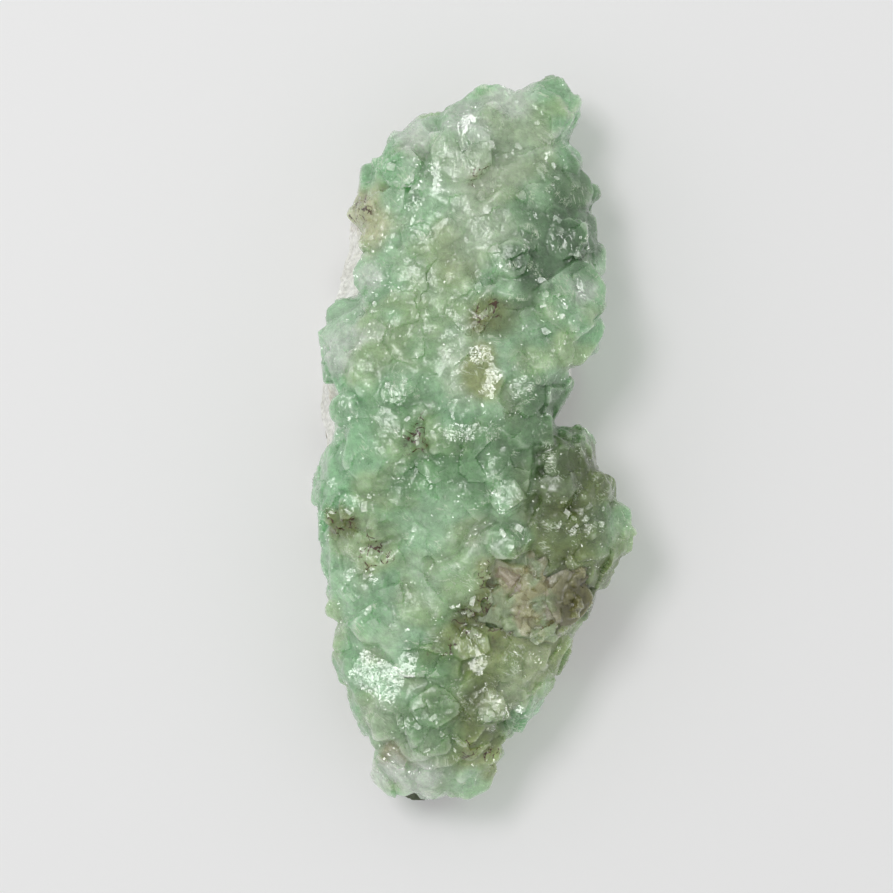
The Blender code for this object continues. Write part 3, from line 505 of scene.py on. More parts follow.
def grow_buds(growth, mains, rng):
    """Small crystals that stand out of the main ones' faces."""
    for number, u, v in growth.spots(mains, BUD_COUNT, 1.0, rng):
        side = rng.uniform(*BUD_HALF)
        foot = growth.top_at(number, u, v) - 0.5 * side
        tilt = tilted(BUD_LEAN, math.pi / 2, rng)
        sizes = (side, side * rng.uniform(*NARROW), side * rng.uniform(*BUD_RISE), SMALL_ROOT + side)
        growth.add(*growth.on(number, (u, v, foot), tilt), sizes,
                   random_reach(side, rng.uniform(*SMALL_BLUNT), rng))


def caster(item):
    """A function from x, y in plan to the topmost point of an object there, and its normal."""
    form = bmesh.new()
    form.from_mesh(item.data)
    tree = BVHTree.FromBMesh(form)
    form.free()

    def cast(x, y):
        above = Vector(((x + PLACE[0]) * MM, (y + PLACE[1]) * MM, 1.0))
        spot, normal, _, _ = tree.ray_cast(above, Vector((0, 0, -1)))
        return (None, None) if spot is None else (np.array(spot) / MM - PLACE, normal)
    return cast


def grow_standing(crust, rng):
    """The crystals that stand out, on the surface of the calmed crust."""
    growth = Growth()
    cast = caster(crust)
    for x, y, half, narrow, rise, flat, heading, blunt in STANDING:
        foot, normal = cast(x, y)
        turn = upright(normal.lerp(FLAT_WAY.normalized(), flat).normalized())
        turn = turn @ Matrix.Rotation(math.radians(heading), 3, "Z")
        growth.add(foot, turn, (half, narrow, rise, ROOT), random_reach(max(half, narrow), blunt, rng))
    return growth


def grow_last(crust, rng):
    """The last growth, on the chipped crust: small crystals, and tiny flat ends that glint.

    The small crystals stand along the surface, and the flat ends all face the flat way. Both are
    dense around the sparkling spots and rare elsewhere.
    """
    growth = Growth()
    cast = caster(crust)
    level = upright(FLAT_WAY.normalized())
    low, high = points_of(crust.data).min(axis=0), points_of(crust.data).max(axis=0)
    places = [(rng.uniform(low[0], high[0]), rng.uniform(low[1], high[1]), SPRINKLE_REST)
              for _ in range(SPRINKLE_TRIES)]
    for x, y, radius in SPARKLE_SPOTS:
        for _ in range(round(SPRINKLE_DENSE * radius ** 2)):
            places.append((rng.gauss(x, 0.5 * radius), rng.gauss(y, 0.5 * radius), 1.0))
    for x, y, chance in places:
        foot, normal = cast(x, y)
        if foot is None or normal.z < SPRINKLE_STEEP or rng.random() > chance:
            continue
        glint = rng.random() < GLINT_SHARE
        side = GLINT_HALF[0] * (GLINT_HALF[1] / GLINT_HALF[0]) ** rng.random()
        lean, stance, rise = GLINT_LEAN, level, GLINT_RISE
        if not glint:
            side = rng.uniform(*CHIP_HALF)
            lean, stance, rise = CHIP_LEAN, upright(normal), CHIP_RISE
        turn = stance @ tilted(lean, math.pi, rng)
        sizes = (side, side * rng.uniform(*GLINT_NARROW), side * rng.uniform(*rise), GLINT_ROOT + side)
        growth.add(foot, turn, sizes, random_reach(side, rng.uniform(*GLINT_BLUNT), rng))
    return growth


def grow_on_bed(growth, rng):
    """Low, broad crystals all over the bed, which fill the gaps."""
    for _ in range(PLATE_TRIES):
        y = rng.uniform(Y[0] + FILL_MARGIN, Y[-1] - FILL_MARGIN)
        point, out = bed_side(y, rng.uniform(0, 180))
        half = rng.uniform(*PLATE_HALF)
        if bare(point, half):
            continue
        rise = rng.uniform(*PLATE_RISE)
        turn = upright(out) @ tilted(PLATE_LEAN, math.pi / 2, rng)
        growth.add(point, turn, (half, half * rng.uniform(*NARROW), rise, ROOT),
                   random_reach(half, rng.uniform(*PLATE_BLUNT), rng), BEVEL)


def plane_solids(planes, offsets, turns, places):
    """Corners and faces of solids that share their face directions, worked out all at once.

    A corner is a point where three face planes meet that lies on the inner side of all the
    others. A face is the corners of one plane, sorted by their direction from its middle.
    """
    triples = np.array(list(combinations(range(len(planes)), 3)))
    triples = triples[np.abs(np.linalg.det(planes[triples])) > 1e-6]
    points = np.einsum("tij,ntj->nti", np.linalg.inv(planes[triples]), offsets[:, triples])
    inside = (points @ planes.T <= offsets[:, None, :] + 1e-7).all(axis=2)
    solids = []
    for number, kept in enumerate(inside):
        corners, sets = points[number][kept], triples[kept]
        faces = []
        for plane, normal in enumerate(planes):
            members = np.nonzero((sets == plane).any(axis=1))[0]
            if len(members) < 3:
                continue
            arms = corners[members] - corners[members].mean(axis=0)
            across = np.cross(normal, arms[0])
            across /= np.linalg.norm(across)
            ahead = arms[0] / np.linalg.norm(arms[0])
            faces.append(members[np.argsort(np.arctan2(arms @ across, arms @ ahead))].tolist())
        solids.append((corners @ turns[number].T + places[number], faces))
    return solids


def crystal_meshes(growth):
    """Every crystal of the growth: a square prism cut by a four-faced pyramid over its edges."""
    side, up = math.sin(PYRAMID_SLOPE), math.cos(PYRAMID_SLOPE)
    pyramid = np.stack([side * np.cos(PYRAMID_WAYS), side * np.sin(PYRAMID_WAYS), np.full(4, up)], axis=1)
    half, narrow, rise, root = np.array(growth.sizes).T
    far = [side * reach + up * rise for reach in np.array(growth.reach).T]
    offsets = np.stack([half, half, narrow, narrow, rise, root] + far, axis=1)
    planes = np.concatenate([np.array(BOX_PLANES, float), pyramid])
    return plane_solids(planes, offsets, growth.turn, growth.place)


def form_of(solid, number=0, crisp=0):
    """A bmesh from corners and faces, which carry a crystal's number and whether it is crisp."""
    form = bmesh.new()
    corners = [form.verts.new(point) for point in solid[0]]
    for face in solid[1]:
        form.faces.new([corners[corner] for corner in face])
    for name, value in (("crystal", number), ("crisp", crisp)):
        layer = form.faces.layers.int.new(name)
        for face in form.faces:
            face[layer] = value
    return form


def put(form, name):
    """Put a bmesh given in plan mm into an object in metres in the part's frame."""
    form.normal_update()
    bmesh.ops.recalc_face_normals(form, faces=form.faces)
    bmesh.ops.translate(form, vec=PLACE, verts=form.verts)
    bmesh.ops.scale(form, vec=(MM, MM, MM), verts=form.verts)
    mesh = bpy.data.meshes.new(name)
    form.to_mesh(mesh)
    form.free()
    item = bpy.data.objects.new(name, mesh)
    bpy.context.scene.collection.objects.link(item)
    return item


def grid_mesh(rings):
    """A skin over an array of rings of points, wound round, with a fan of faces at each end."""
    count, sides, _ = rings.shape
    points = np.concatenate([rings.reshape(-1, 3), [rings[0].mean(axis=0), rings[-1].mean(axis=0)]])
    spoke = np.arange(sides)
    after = (spoke + 1) % sides
    start = sides * np.arange(count - 1)[:, None]
    near, far = [start + spoke, start + after], [start + sides + after, start + sides + spoke]
    quads = np.stack(near + far, axis=-1)
    last = sides * (count - 1)
    fans = [np.stack([np.full(sides, count * sides), after, spoke], axis=-1),
            np.stack([np.full(sides, count * sides + 1), last + spoke, last + after], axis=-1)]
    return points, quads.reshape(-1, 4).tolist() + np.concatenate(fans).tolist()


def lumps(points, size, seed, octaves=3):
    """Random heights about zero, smooth at that size in mm.

    A repeating lattice of random values is read between its points, and finer, weaker copies of
    it are added.
    """
    table = np.random.default_rng(seed).uniform(-1, 1, (32, 32, 32))
    total = np.zeros(len(points))
    for octave in range(octaves):
        cell = points / size * 2 ** octave
        low = np.floor(cell).astype(int)
        part = cell - low
        part = part * part * (3 - 2 * part)
        for corner in product((0, 1), repeat=3):
            weight = np.where(corner, part, 1 - part).prod(axis=1)
            total += weight * table[tuple((low + corner).T % 32)] / 2 ** octave
    return total


def crust_bed(sides, rings):
    """The bed: rings over the stations, closed at the two ends.

    A ring's points lie at the cosine and sine of a turn, each taken to the power SQUARENESS, times
    the section's half sizes. Each point then moves out from the section's middle by waves, and
    by the lift that fills the gaps, which grows with how far up the point faces.
    """
    along = -np.cos(np.linspace(BED_POLE, math.pi - BED_POLE, rings))
    turn = np.linspace(0, 2 * math.pi, sides, endpoint=False)
    shape = np.stack([np.sign(way) * np.abs(way) ** SQUARENESS for way in (np.cos(turn), np.sin(turn))])
    skin = []
    for share in along:
        y = (Y[0] + Y[-1] + share * (Y[-1] - Y[0])) / 2
        x_mid, x_half, z_mid, z_half = section(y)
        thin = math.sqrt(1 - share ** 2) ** END_THIN
        x, z = x_mid + x_half * thin * shape[0], z_mid + z_half * thin * shape[1]
        skin.append(np.stack([x, np.full(sides, y), z], axis=1))
    points, faces = grid_mesh(np.array(skin))
    middle = points.mean(axis=0) * (0, 0, 1) + points * (0, 1, 0)
    out = points - middle
    out /= np.maximum(np.linalg.norm(out, axis=1), 1e-6)[:, None]
    lift = BED_LIFT * np.interp(points[:, 1], [LIFT_FROM, LIFT_TO], [0.5, 1.0])
    swell = lumps(points, WAVE_SIZE, SEED) + lift * np.clip(out[:, 2], 0, 1)
    return points + out * swell[:, None], faces


def boolean(base, operation, others):
    """Join or cut one closed mesh with others, which leaves a single skin with no inner faces."""
    blanks = bpy.data.collections.new("blanks")
    bpy.context.scene.collection.children.link(blanks)
    for item in others:
        bpy.context.scene.collection.objects.unlink(item)
        blanks.objects.link(item)
    step = base.modifiers.new("boolean", "BOOLEAN")
    step.operation, step.solver = operation, "MANIFOLD"
    step.operand_type, step.collection = "COLLECTION", blanks
    settle(base)
    for item in others:
        bpy.data.objects.remove(item)
    bpy.data.collections.remove(blanks)


def settle(item):
    """Give an object the mesh that its modifiers make of its own."""
    bpy.context.view_layer.update()
    graph = bpy.context.evaluated_depsgraph_get()
    mesh = bpy.data.meshes.new_from_object(item.evaluated_get(graph))
    item.modifiers.clear()
    item.data = mesh


def read(items, name, width=1, kind=float):
    """A property of a mesh's points, edges, faces or marks as an array, with a row for each."""
    values = np.zeros(len(items) * width, kind)
    items.foreach_get(name, values)
    return values.reshape(-1, width) if width > 1 else values


def points_of(mesh):
    """A mesh's corner points in plan mm."""
    return read(mesh.vertices, "co", 3) / MM - PLACE


def move_points(mesh, points):
    """Take a mesh's corner points to new places in plan mm."""
    mesh.vertices.foreach_set("co", ((points + PLACE) * MM).ravel())
    mesh.update()


def beside(mesh):
    """A function that takes a value at each point to the mean of those at the points beside it."""
    edges = read(mesh.edges, "vertices", 2, int)
    here, there = np.concatenate([edges, edges[:, ::-1]]).T
    count = np.maximum(np.bincount(here, minlength=len(mesh.vertices)), 1)

    def mean(values):
        total = [np.bincount(here, weights=part[there], minlength=len(count)) for part in values.T]
        return np.stack(total, axis=1) / count[:, None]
    return mean


def around(points, spots, inner, slope):
    """1 at spots seen from above, falling to 0 round them: inner less slope times the way in radii."""
    shares = [inner - slope * (np.hypot(points[:, 0] - x, points[:, 1] - y) / radius)
              for x, y, radius in spots]
    return np.clip(np.max(shares, axis=0), 0, 1)


def facets(points, size, seed):
    """Heights of small flat chips, each tilted its own way, with that size in mm.

    Every point takes the nearest of the centres scattered one to a cell of a lattice, and its
    height is how far along that centre's tilt it lies.
    """
    rng = np.random.default_rng(seed)
    jitter, tilts = rng.uniform(0, 1, (16, 16, 16, 3)), rng.uniform(-1, 1, (16, 16, 16, 3))
    cell = np.floor(points / size).astype(int)
    nearest, height = np.full(len(points), 9.0), np.zeros(len(points))
    for shift in product((-1, 0, 1), repeat=3):
        other = cell + shift
        key = tuple(other.T % 16)
        arm = points / size - other - jitter[key]
        away = (arm ** 2).sum(axis=1)
        closer = away < nearest
        nearest = np.where(closer, away, nearest)
        height = np.where(closer, (arm * tilts[key]).sum(axis=1), height)
    return height * size


def even_mesh(item, voxel):
    """Take a mesh of crisp faces to one of small even squares, which keep the faces' marks."""
    item.data.remesh_voxel_size = voxel * MM
    item.data.use_remesh_preserve_attributes = True
    item.data.use_remesh_preserve_volume = False
    item.data.use_remesh_fix_poles = False
    bpy.context.view_layer.objects.active = item
    bpy.ops.object.voxel_remesh()


def calm_down(item, keep):
    """Lower an even mesh's relief where the growth is calm.

    The relief is what each point has over a much smoothed copy of the mesh. It keeps its full
    height on the sides, and more of it where keep is high.
    """
    points = points_of(item.data)
    mean = beside(item.data)
    calmed = points.copy()
    for _ in range(CALM_PASSES):
        calmed += CALM_STEP * (mean(calmed) - calmed)
    move_points(item.data, calmed)
    upward = read(item.data.vertices, "normal", 3)[:, 2]
    facing = np.clip((upward - CALM_FACING[0]) / CALM_FACING[1], 0, 1)
    calm = REST_CALM + (MOST_CALM - REST_CALM) * around(points, CALM_SPOTS, 1.8, 1.8)
    calm *= (1 - keep) * facing
    move_points(item.data, points + calm[:, None] * (calmed - points))


def chip(item, most_faces):
    """Round an even mesh's edges a little, chip its faces finely, and thin its flat places out.

    The chips are added along the normals. The coarse ones are the same all over, the middle ones
    come and go over the crust, and the finest are mostly around the sparkling spots.
    """
    points = points_of(item.data)
    points += 0.5 * (beside(item.data)(points) - points)
    move_points(item.data, points)
    sparkle = around(points, SPARKLE_SPOTS, 2.0, 1.5)
    rough = np.clip(0.55 + 0.6 * lumps(points, 11.0, SEED + 7), 0.1, 1.0)
    coarse, middle, fine = (facets(points, size, SEED + pattern)
                            for size, pattern in zip(CHIP_SIZES, (3, 0, 1)))
    chips = CHIP_TILTS[0] * coarse + CHIP_TILTS[1] * rough * middle
    chips += (CHIP_TILTS[2] * rough + CHIP_TILTS[3] * sparkle) * fine
    points += read(item.data.vertices, "normal", 3) * chips[:, None]
    move_points(item.data, points)
    step = item.modifiers.new("fewer", "DECIMATE")
    step.ratio = min(1.0, most_faces / (2 * len(item.data.polygons)))
    settle(item)
    item.data.shade_smooth()
    item.data.set_sharp_from_angle(angle=CREASE)


def keep_largest(item):
    """Drop the chips that the cuts leave loose beside the main body.

    Every point takes the lowest number met along its edges, over and over, so that in the end a
    body's points all hold the same one.
    """
    mesh = item.data
    edges = read(mesh.edges, "vertices", 2, int)
    body, before = np.arange(len(mesh.vertices)), None
    while before is None or (body != before).any():
        before, least = body, body[edges].min(axis=1)
        body = before.copy()
        for end in (0, 1):
            np.minimum.at(body, edges[:, end], least)
        body = body[body]
    loose = np.nonzero(body != np.bincount(body).argmax())[0]
    form = bmesh.new()
    form.from_mesh(mesh)
    form.verts.ensure_lookup_table()
    bmesh.ops.delete(form, geom=[form.verts[number] for number in loose], context="VERTS")
    form.to_mesh(mesh)
    form.free()


def egg(middle, half, seed, rough):
    """An egg-shaped solid: a sphere of rings, stretched to its half sizes and roughened.

    A ring's points are the sine of its rise times the cosine and sine of a turn, and the cosine
    of its rise. Lumps and chips then move every point out from the middle or in.
    """
    turn = np.linspace(0, 2 * math.pi, 48, endpoint=False)
    rise = np.linspace(EGG_POLE, math.pi - EGG_POLE, 32)
    rings = np.stack([np.outer(np.sin(rise), np.cos(turn)), np.outer(np.sin(rise), np.sin(turn)),
                      np.outer(np.cos(rise), np.ones(len(turn)))], axis=-1)
    points, faces = grid_mesh(rings * half + middle)
    swell = rough * (lumps(points, 4.0, seed) + facets(points, 2.6, seed))
    swell = 1 + swell / np.linalg.norm(points - middle, axis=1)
    return points * swell[:, None] + middle * (1 - swell[:, None]), faces


def crystal_items(growth, first, crisp):
    """Every crystal of the growth as an object, its faces numbered from first on."""
    items = []
    for number, solid in enumerate(crystal_meshes(growth)):
        form = form_of(solid, first + number, crisp)
        if growth.bevel[number]:
            bmesh.ops.bevel(form, geom=form.edges[:], offset=growth.bevel[number], segments=1,
                            affect="EDGES", clamp_overlap=True)
        items.append(put(form, "blank"))
    return items


def at_points(mesh, values):
    """Face values as the mean at each point of the faces that meet there."""
    corners = read(mesh.loops, "vertex_index", 1, int)
    sharing = np.maximum(np.bincount(corners, minlength=len(mesh.vertices)), 1)
    weights = np.repeat(values, read(mesh.polygons, "loop_total", 1, int))
    return np.bincount(corners, weights=weights, minlength=len(sharing)) / sharing


def open_hollow(crust):
    """Cut the stilbite's hollow into the crust."""
    hollows = []
    for number, (x, y, wide, long) in enumerate(OPENINGS):
        middle = np.array((x, y, bed_at(x, y)[0].z + HOLLOW_RISE))
        hollow = egg(middle, (wide, long, HOLLOW_DEPTH), SEED + number, 0.9)
        hollows.append(put(form_of(hollow), "hollow"))
    boolean(crust, "DIFFERENCE", hollows)
    keep_largest(crust)


def apophyllite_crust():
    """The bed and all its crystals as one closed skin, less the stilbite's hollow.

    The bed and the greater growth are joined and calmed down, the crystals that stand out are
    joined to them and chipped together with them, and the crisp last growth is joined to that.
    """
    soft = Growth()
    grow_mains(soft)
    mains = len(soft.place)
    rng = random.Random(SEED)
    grow_steps(soft, mains, rng)
    grow_buds(soft, mains, rng)
    grow_on_bed(soft, rng)
    crust = put(form_of(crust_bed(96, 150)), "crystal_crust")
    boolean(crust, "UNION", crystal_items(soft, 1, 0))
    open_hollow(crust)
    even_mesh(crust, COARSE_VOXEL)
    crisp = np.concatenate([[0.0], soft.crisp, np.zeros(len(soft.place) - mains)])
    number = read(crust.data.attributes["crystal"].data, "value", 1, int)
    calm_down(crust, at_points(crust.data, CRISP_SHARE * crisp[number]))
    standing = grow_standing(crust, rng)
    boolean(crust, "UNION", crystal_items(standing, len(soft.place) + 1, 0))
    even_mesh(crust, VOXEL)
    chip(crust, MOST_FACES)
    last = grow_last(crust, rng)
    boolean(crust, "UNION", crystal_items(last, len(soft.place) + len(standing.place) + 1, 1))
    keep_largest(crust)
    crisp = read(crust.data.attributes["crisp"].data, "value", 1, int)
    crust.data.polygons.foreach_set("use_smooth", crisp == 0)
    turns = soft.turn + standing.turn + last.turn
    mark_faces(crust.data, turns, soft.place + standing.place + last.place)
    mark_tints(crust.data)
    return crust


def broken_rock():
    """The matrix: the solid model's rock with each face cut finer, and roughened outwards.

    Lumps of a few mm and sharp grains of about one, which are noise without its sign, are added
    along the normals, and fade out towards the flat base.
    """
    form = bmesh.new()
    form.from_mesh(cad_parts["matrix"].data)
    bmesh.ops.remove_doubles(form, verts=form.verts, dist=0.001 * MM)
    bmesh.ops.subdivide_edges(form, edges=form.edges[:], cuts=7, use_grid_fill=True)
    mesh = bpy.data.meshes.new("broken_matrix")
    form.to_mesh(mesh)
    form.free()
    points = read(mesh.vertices, "co", 3) / MM
    (broad, height), (narrow, sharp) = ROCK_LUMPS, ROCK_GRAINS
    relief = height * lumps(points, broad, 1) + sharp * np.abs(lumps(points, narrow, 2, 2)) - ROCK_SINK
    fade = np.clip(points[:, 2] / ROCK_FADE, 0, 1) ** 2
    points += read(mesh.vertices, "normal", 3) * (fade * relief)[:, None]
    mesh.vertices.foreach_set("co", (points * MM).ravel())
    rock = bpy.data.objects.new("broken_matrix", mesh)
    bpy.context.scene.collection.objects.link(rock)
    return rock


def hollow_place(middle, heading, reach):
    """A place in the hollow, at a heading and a reach in shares of its half sizes."""
    half, narrow = HOLLOW_HALF
    return middle + (half * reach * math.cos(heading), narrow * reach * math.sin(heading), 0)


def sheaf_blades(middle, side, up, rng):
    """The sheaves' blades: each one's plane offsets, turn and place.

    The sheaves' headings step by the golden angle, and their distances from the middle by a root.
    A sheaf's blades fan out evenly, each a little off in turn and size.
    """
    for fan in range(FAN_COUNT):
        place = hollow_place(middle, math.pi * (3 - math.sqrt(5)) * fan,
                             FAN_REACH * math.sqrt((fan + 0.5) / FAN_COUNT))
        stance = Matrix.Rotation(rng.uniform(0, 2 * math.pi), 3, "Z")
        stance = stance @ Matrix.Rotation(FAN_LEAN * rng.uniform(0.6, 1.0), 3, "Y")
        for step in range(FAN_BLADES):
            spread = FAN_SPREAD * (step - (FAN_BLADES - 1) / 2) + rng.gauss(0, math.radians(2))
            turn = stance @ Matrix.Rotation(spread, 3, "X") @ Matrix.Rotation(rng.gauss(0, 0.15), 3, "Z")
            thin, wide, long = (size * rng.uniform(0.7, 1.15) for size in BLADE_SIZE)
            tip = [up * long + side * 0.6 * thin] * 2 + [up * long + side * 0.1 * wide] * 2
            yield [thin, thin, wide, wide, long, 1.0] + tip, np.array(turn), place


def blocky_crystals(middle, side, up, rng):
    """Short, thick crystals among the sheaves: each one's plane offsets, turn and place."""
    for _ in range(BLOCK_COUNT):
        place = hollow_place(middle, rng.uniform(0, 2 * math.pi), FAN_REACH * math.sqrt(rng.random()))
        half, long = rng.uniform(*BLOCK_HALF), rng.uniform(*BLOCK_RISE)
        turn = tilted(0.3, math.pi, rng)
        tip = [up * long + side * 0.8 * half * rng.uniform(*UNEVEN) for _ in range(4)]
        yield [half, half, 0.8 * half, 0.8 * half, long, 1.0] + tip, np.array(turn), place


def stilbite_sheaves():
    """The stilbite: sheaves of thin blades that fan out of a low bed, joined in one skin.

    A blade is a lath with a pointed end: two broad faces, two edges and four end planes.
    """
    point, _ = bed_at(*HOLLOW)
    middle = np.array((point.x, point.y, point.z + FAN_LIFT))
    rng = random.Random(FAN_SEED)
    side, up = math.sin(BLADE_POINT), math.cos(BLADE_POINT)
    planes = np.array(BOX_PLANES + [(side, 0, up), (-side, 0, up), (0, side, up), (0, -side, up)], float)
    crystals = [*sheaf_blades(middle, side, up, rng), *blocky_crystals(middle, side, up, rng)]
    offsets, turns, places = zip(*crystals)
    solids = plane_solids(planes, np.array(offsets), turns, places)
    blades = [put(form_of(solid, number + 1), "blade") for number, solid in enumerate(solids)]
    mound = egg(middle, (HOLLOW_HALF[0] * MOUND[0], HOLLOW_HALF[1] * MOUND[0], MOUND[1]), SEED, 0.6)
    patch = put(form_of(mound), "stilbite_sheaves")
    boolean(patch, "UNION", blades)
    keep_largest(patch)
    even_mesh(patch, PATCH_VOXEL)
    chip(patch, PATCH_FACES)
    mark_faces(patch.data, turns, places, middle)
    return patch


def mark(mesh, name, where, values, kind="FLOAT"):
    """Give a mesh's points or faces an attribute."""
    field = "value" if kind == "FLOAT" else "vector"
    mesh.attributes.new(name, kind, where).data.foreach_set(field, values.ravel().astype(np.float32))


def mark_faces(mesh, turns, places, bed=(0, 0, 0)):
    """Give a grown piece what its finish follows.

    The UV map grain holds mm across a face and mm up it, along the axes of the crystal that the
    face belongs to. Face values tone and veil are one draw for each crystal. The point value
    edge is how far in mm a point stands out from those round it, so it is high along ridges.
    Number 0 is the bed, and the crystals come after it.
    """
    turns, places = np.array([np.eye(3), *turns]), np.array([bed, *places], float)
    rng = np.random.default_rng(SEED)
    number = read(mesh.attributes["crystal"].data, "value", 1, int)
    normals = read(mesh.polygons, "normal", 3)
    axes = turns[number]
    local = np.einsum("nij,ni->nj", axes, normals)
    up = np.where(np.abs(local[:, 2:3]) > END_FACE, axes[:, :, 1], axes[:, :, 2])
    across = np.cross(up, normals)
    across /= np.maximum(np.linalg.norm(across, axis=1), 1e-6)[:, None]
    climb = np.cross(normals, across)
    spots = points_of(mesh)
    face = np.repeat(np.arange(len(mesh.polygons)), read(mesh.polygons, "loop_total", 1, int))
    arm = spots[read(mesh.loops, "vertex_index", 1, int)] - places[number[face]]
    grain = np.stack([(arm * across[face]).sum(axis=1), (arm * climb[face]).sum(axis=1)], axis=1)
    grain[:, 0] += GRAIN_STEP * number[face]
    mesh.uv_layers.new(name="grain").data.foreach_set("uv", grain.ravel().astype(np.float32))
    for name in ("tone", "veil"):
        values = rng.uniform(0, 1, len(places))
        values[0] = 0.5
        mark(mesh, name, "FACE", values[number])
    mean = beside(mesh)
    edge = ((spots - mean(spots)) * read(mesh.vertices, "normal", 3)).sum(axis=1)[:, None]
    mark(mesh, "edge", "POINT", mean(mean(edge)))


def smooth(values, low, high):
    """Values taken smoothly from 0 at low to 1 at high."""
    share = np.clip((values - low) / (high - low), 0, 1)
    return share * share * (3 - 2 * share)


def mark_tints(mesh):
    """Give the crust's points the colour, the stain and the mirror share that its finish reads.

    The colour starts from two greens that swim into each other. Then come yellower clouds, a
    lighter green for some crystals, and the spots of TONES_AND_PAINTED_LIGHT one after the other. A spot is whole
    up to about a third of its radius and fades out smoothly to it, in a plan bent by noise. The
    mirror share is a face's own share inside its turned rectangle, and falls off at its edges,
    which are ragged by noise.
    """
    spots = points_of(mesh)

    def bent(size, most, seed, octaves):
        moves = [lumps(spots, size, SEED + seed + axis, octaves) for axis in (0, 1)]
        return spots[:, :2] + most * np.stack(moves, axis=1)
    plan, ragged = bent(**TINT_BEND), bent(**MIRROR_FRAY)

    def shares(places, widen):
        away = [np.hypot(plan[:, 0] - x, plan[:, 1] - y) / (widen * radius) for x, y, radius in places]
        return [smooth(-part, -1.0, -0.35) for part in away]
    tone = read(mesh.attributes["tone"].data, "value")
    layers = [("#A8CBA6", smooth(lumps(spots, 13.0, SEED + 13, 2), -0.54, 0.54)),
              ("#B4BE8C", 0.45 * smooth(lumps(spots, 7.0, SEED + 14, 2), 0.07, 0.71)),
              ("#C2DCC0", 0.25 * smooth(at_points(mesh, tone), 0.3, 1.0))]
    # Some of these spots paint shade on the right side, and one paints a highlight at 21, 26.
    for code, most, places in TONES_AND_PAINTED_LIGHT:
        layers += [(code, most * share) for share in shares(places, 1.25)]
    tint = np.tile(linear("#92BF94")[:3], (len(spots), 1))
    for code, share in layers:
        tint += share[:, None] * (np.array(linear(code)[:3]) - tint)
    whole = np.zeros(len(spots))
    for x, y, half, narrow, heading, share in MIRRORS:
        turn = math.radians(heading)
        arm = ragged - (x, y)
        reach = np.maximum(np.abs(arm @ (math.cos(turn), math.sin(turn))) / half,
                           np.abs(arm @ (-math.sin(turn), math.cos(turn))) / narrow)
        whole = np.maximum(whole, share * np.clip(0.5 + 2 * (1 - reach) * min(half, narrow), 0, 1))
    mark(mesh, "tint", "POINT", tint, "FLOAT_VECTOR")
    mark(mesh, "stain", "POINT", np.max(shares(STAINS, 1.3), axis=0))
    mark(mesh, "mirror", "POINT", whole)


def linear(code):
    """An sRGB hex colour as the linear values that the shaders take."""
    values = [int(code[place:place + 2], 16) / 255 for place in (1, 3, 5)]
    return [v / 12.92 if v <= 0.04045 else ((v + 0.055) / 1.055) ** 2.4 for v in values] + [1.0]


# Settings that a kind of node has here unless a call says otherwise.
USUAL = {"Mix": {"data_type": "RGBA"}, "MapRange": {"interpolation_type": "SMOOTHSTEP"},
         "Math": {"operation": "MULTIPLY"}, "VectorMath": {"operation": "MULTIPLY"}}


def wire(tree, sockets, values):
    """Give sockets their values, or link them to other nodes' outputs. None leaves one as it is."""
    for socket, value in zip(sockets, values):
        if isinstance(value, bpy.types.NodeSocket):
            tree.links.new(value, socket)
        elif value is not None:
            socket.default_value = value


def node(tree, kind, *inputs, out=None, **settings):
    """Add one node, its inputs in the order of the sockets in use, and give its first output or out."""
    item = tree.nodes.new("ShaderNode" + kind)
    for name, value in (USUAL.get(kind, {}) | settings).items():
        setattr(item, name, value)
    wire(tree, [socket for socket in item.inputs if socket.enabled], inputs)
    return item.outputs[out] if out else [socket for socket in item.outputs if socket.enabled][0]


def new_finish(name, sockets):
    """An empty material and its tree, with the values that are the same all over it."""
    finish = bpy.data.materials.new(name)
    finish.use_nodes = True
    lay(finish.node_tree, sockets)
    return finish, finish.node_tree


def lay(tree, sockets):
    """Give the material's shader values or links, by the names of its sockets."""
    shader = tree.nodes["Principled BSDF"]
    wire(tree, [shader.inputs[name] for name in sockets], sockets.values())


def plan_mm(tree):
    """Object coordinates as mm in the plan of the cluster."""
    place = node(tree, "TexCoord", out="Object")
    return node(tree, "VectorMath", place, (1 / MM,) * 3, (-PLACE).tolist(), operation="MULTIPLY_ADD")


def cloud(tree, place, size, seed, detail=3.0, rough=0.6):
    """Noise from 0 to 1 with lumps of that size in mm, each seed another pattern."""
    moved = node(tree, "VectorMath", place, (seed * 31.7, seed * 17.3, seed * 11.9), operation="ADD")
    return node(tree, "TexNoise", moved, 1 / size, detail, rough)


def patches(tree, place, size, seed, span, levels=(0.0, 1.0), detail=3.0, rough=0.6):
    """A cloud taken smoothly from one level to the other over its span."""
    return node(tree, "MapRange", cloud(tree, place, size, seed, detail, rough), *span, *levels)


def streaks(tree, grain, wide, long, detail=3.0, rough=0.6):
    """Noise drawn out up a crystal's faces, in streaks that wide and long in mm."""
    drawn = node(tree, "VectorMath", grain, (1 / wide, 1 / long, 1.0))
    return node(tree, "TexNoise", drawn, 1.0, detail, rough)


def cells(tree, grain, wide, long, seed=0.0):
    """A random colour for each cell of a crystal's faces, with cells that wide and long in mm."""
    scale = (1 / wide, 1 / long, 1.0)
    moved = node(tree, "VectorMath", grain, scale, (seed,) * 3, operation="MULTIPLY_ADD")
    return node(tree, "TexVoronoi", moved, 1.0, out="Color")


def layered(tree, colour, layers):
    """A colour with others laid over it in turn, each given as its share and its hex colour."""
    for share, code in layers:
        colour = node(tree, "Mix", share, colour, linear(code))
    return colour


def shaded(tree, colour, amount):
    """A colour made lighter and darker by an amount about 1."""
    grey = node(tree, "CombineColor", amount, amount, amount)
    return node(tree, "Mix", 1.0, colour, grey, blend_type="MULTIPLY")


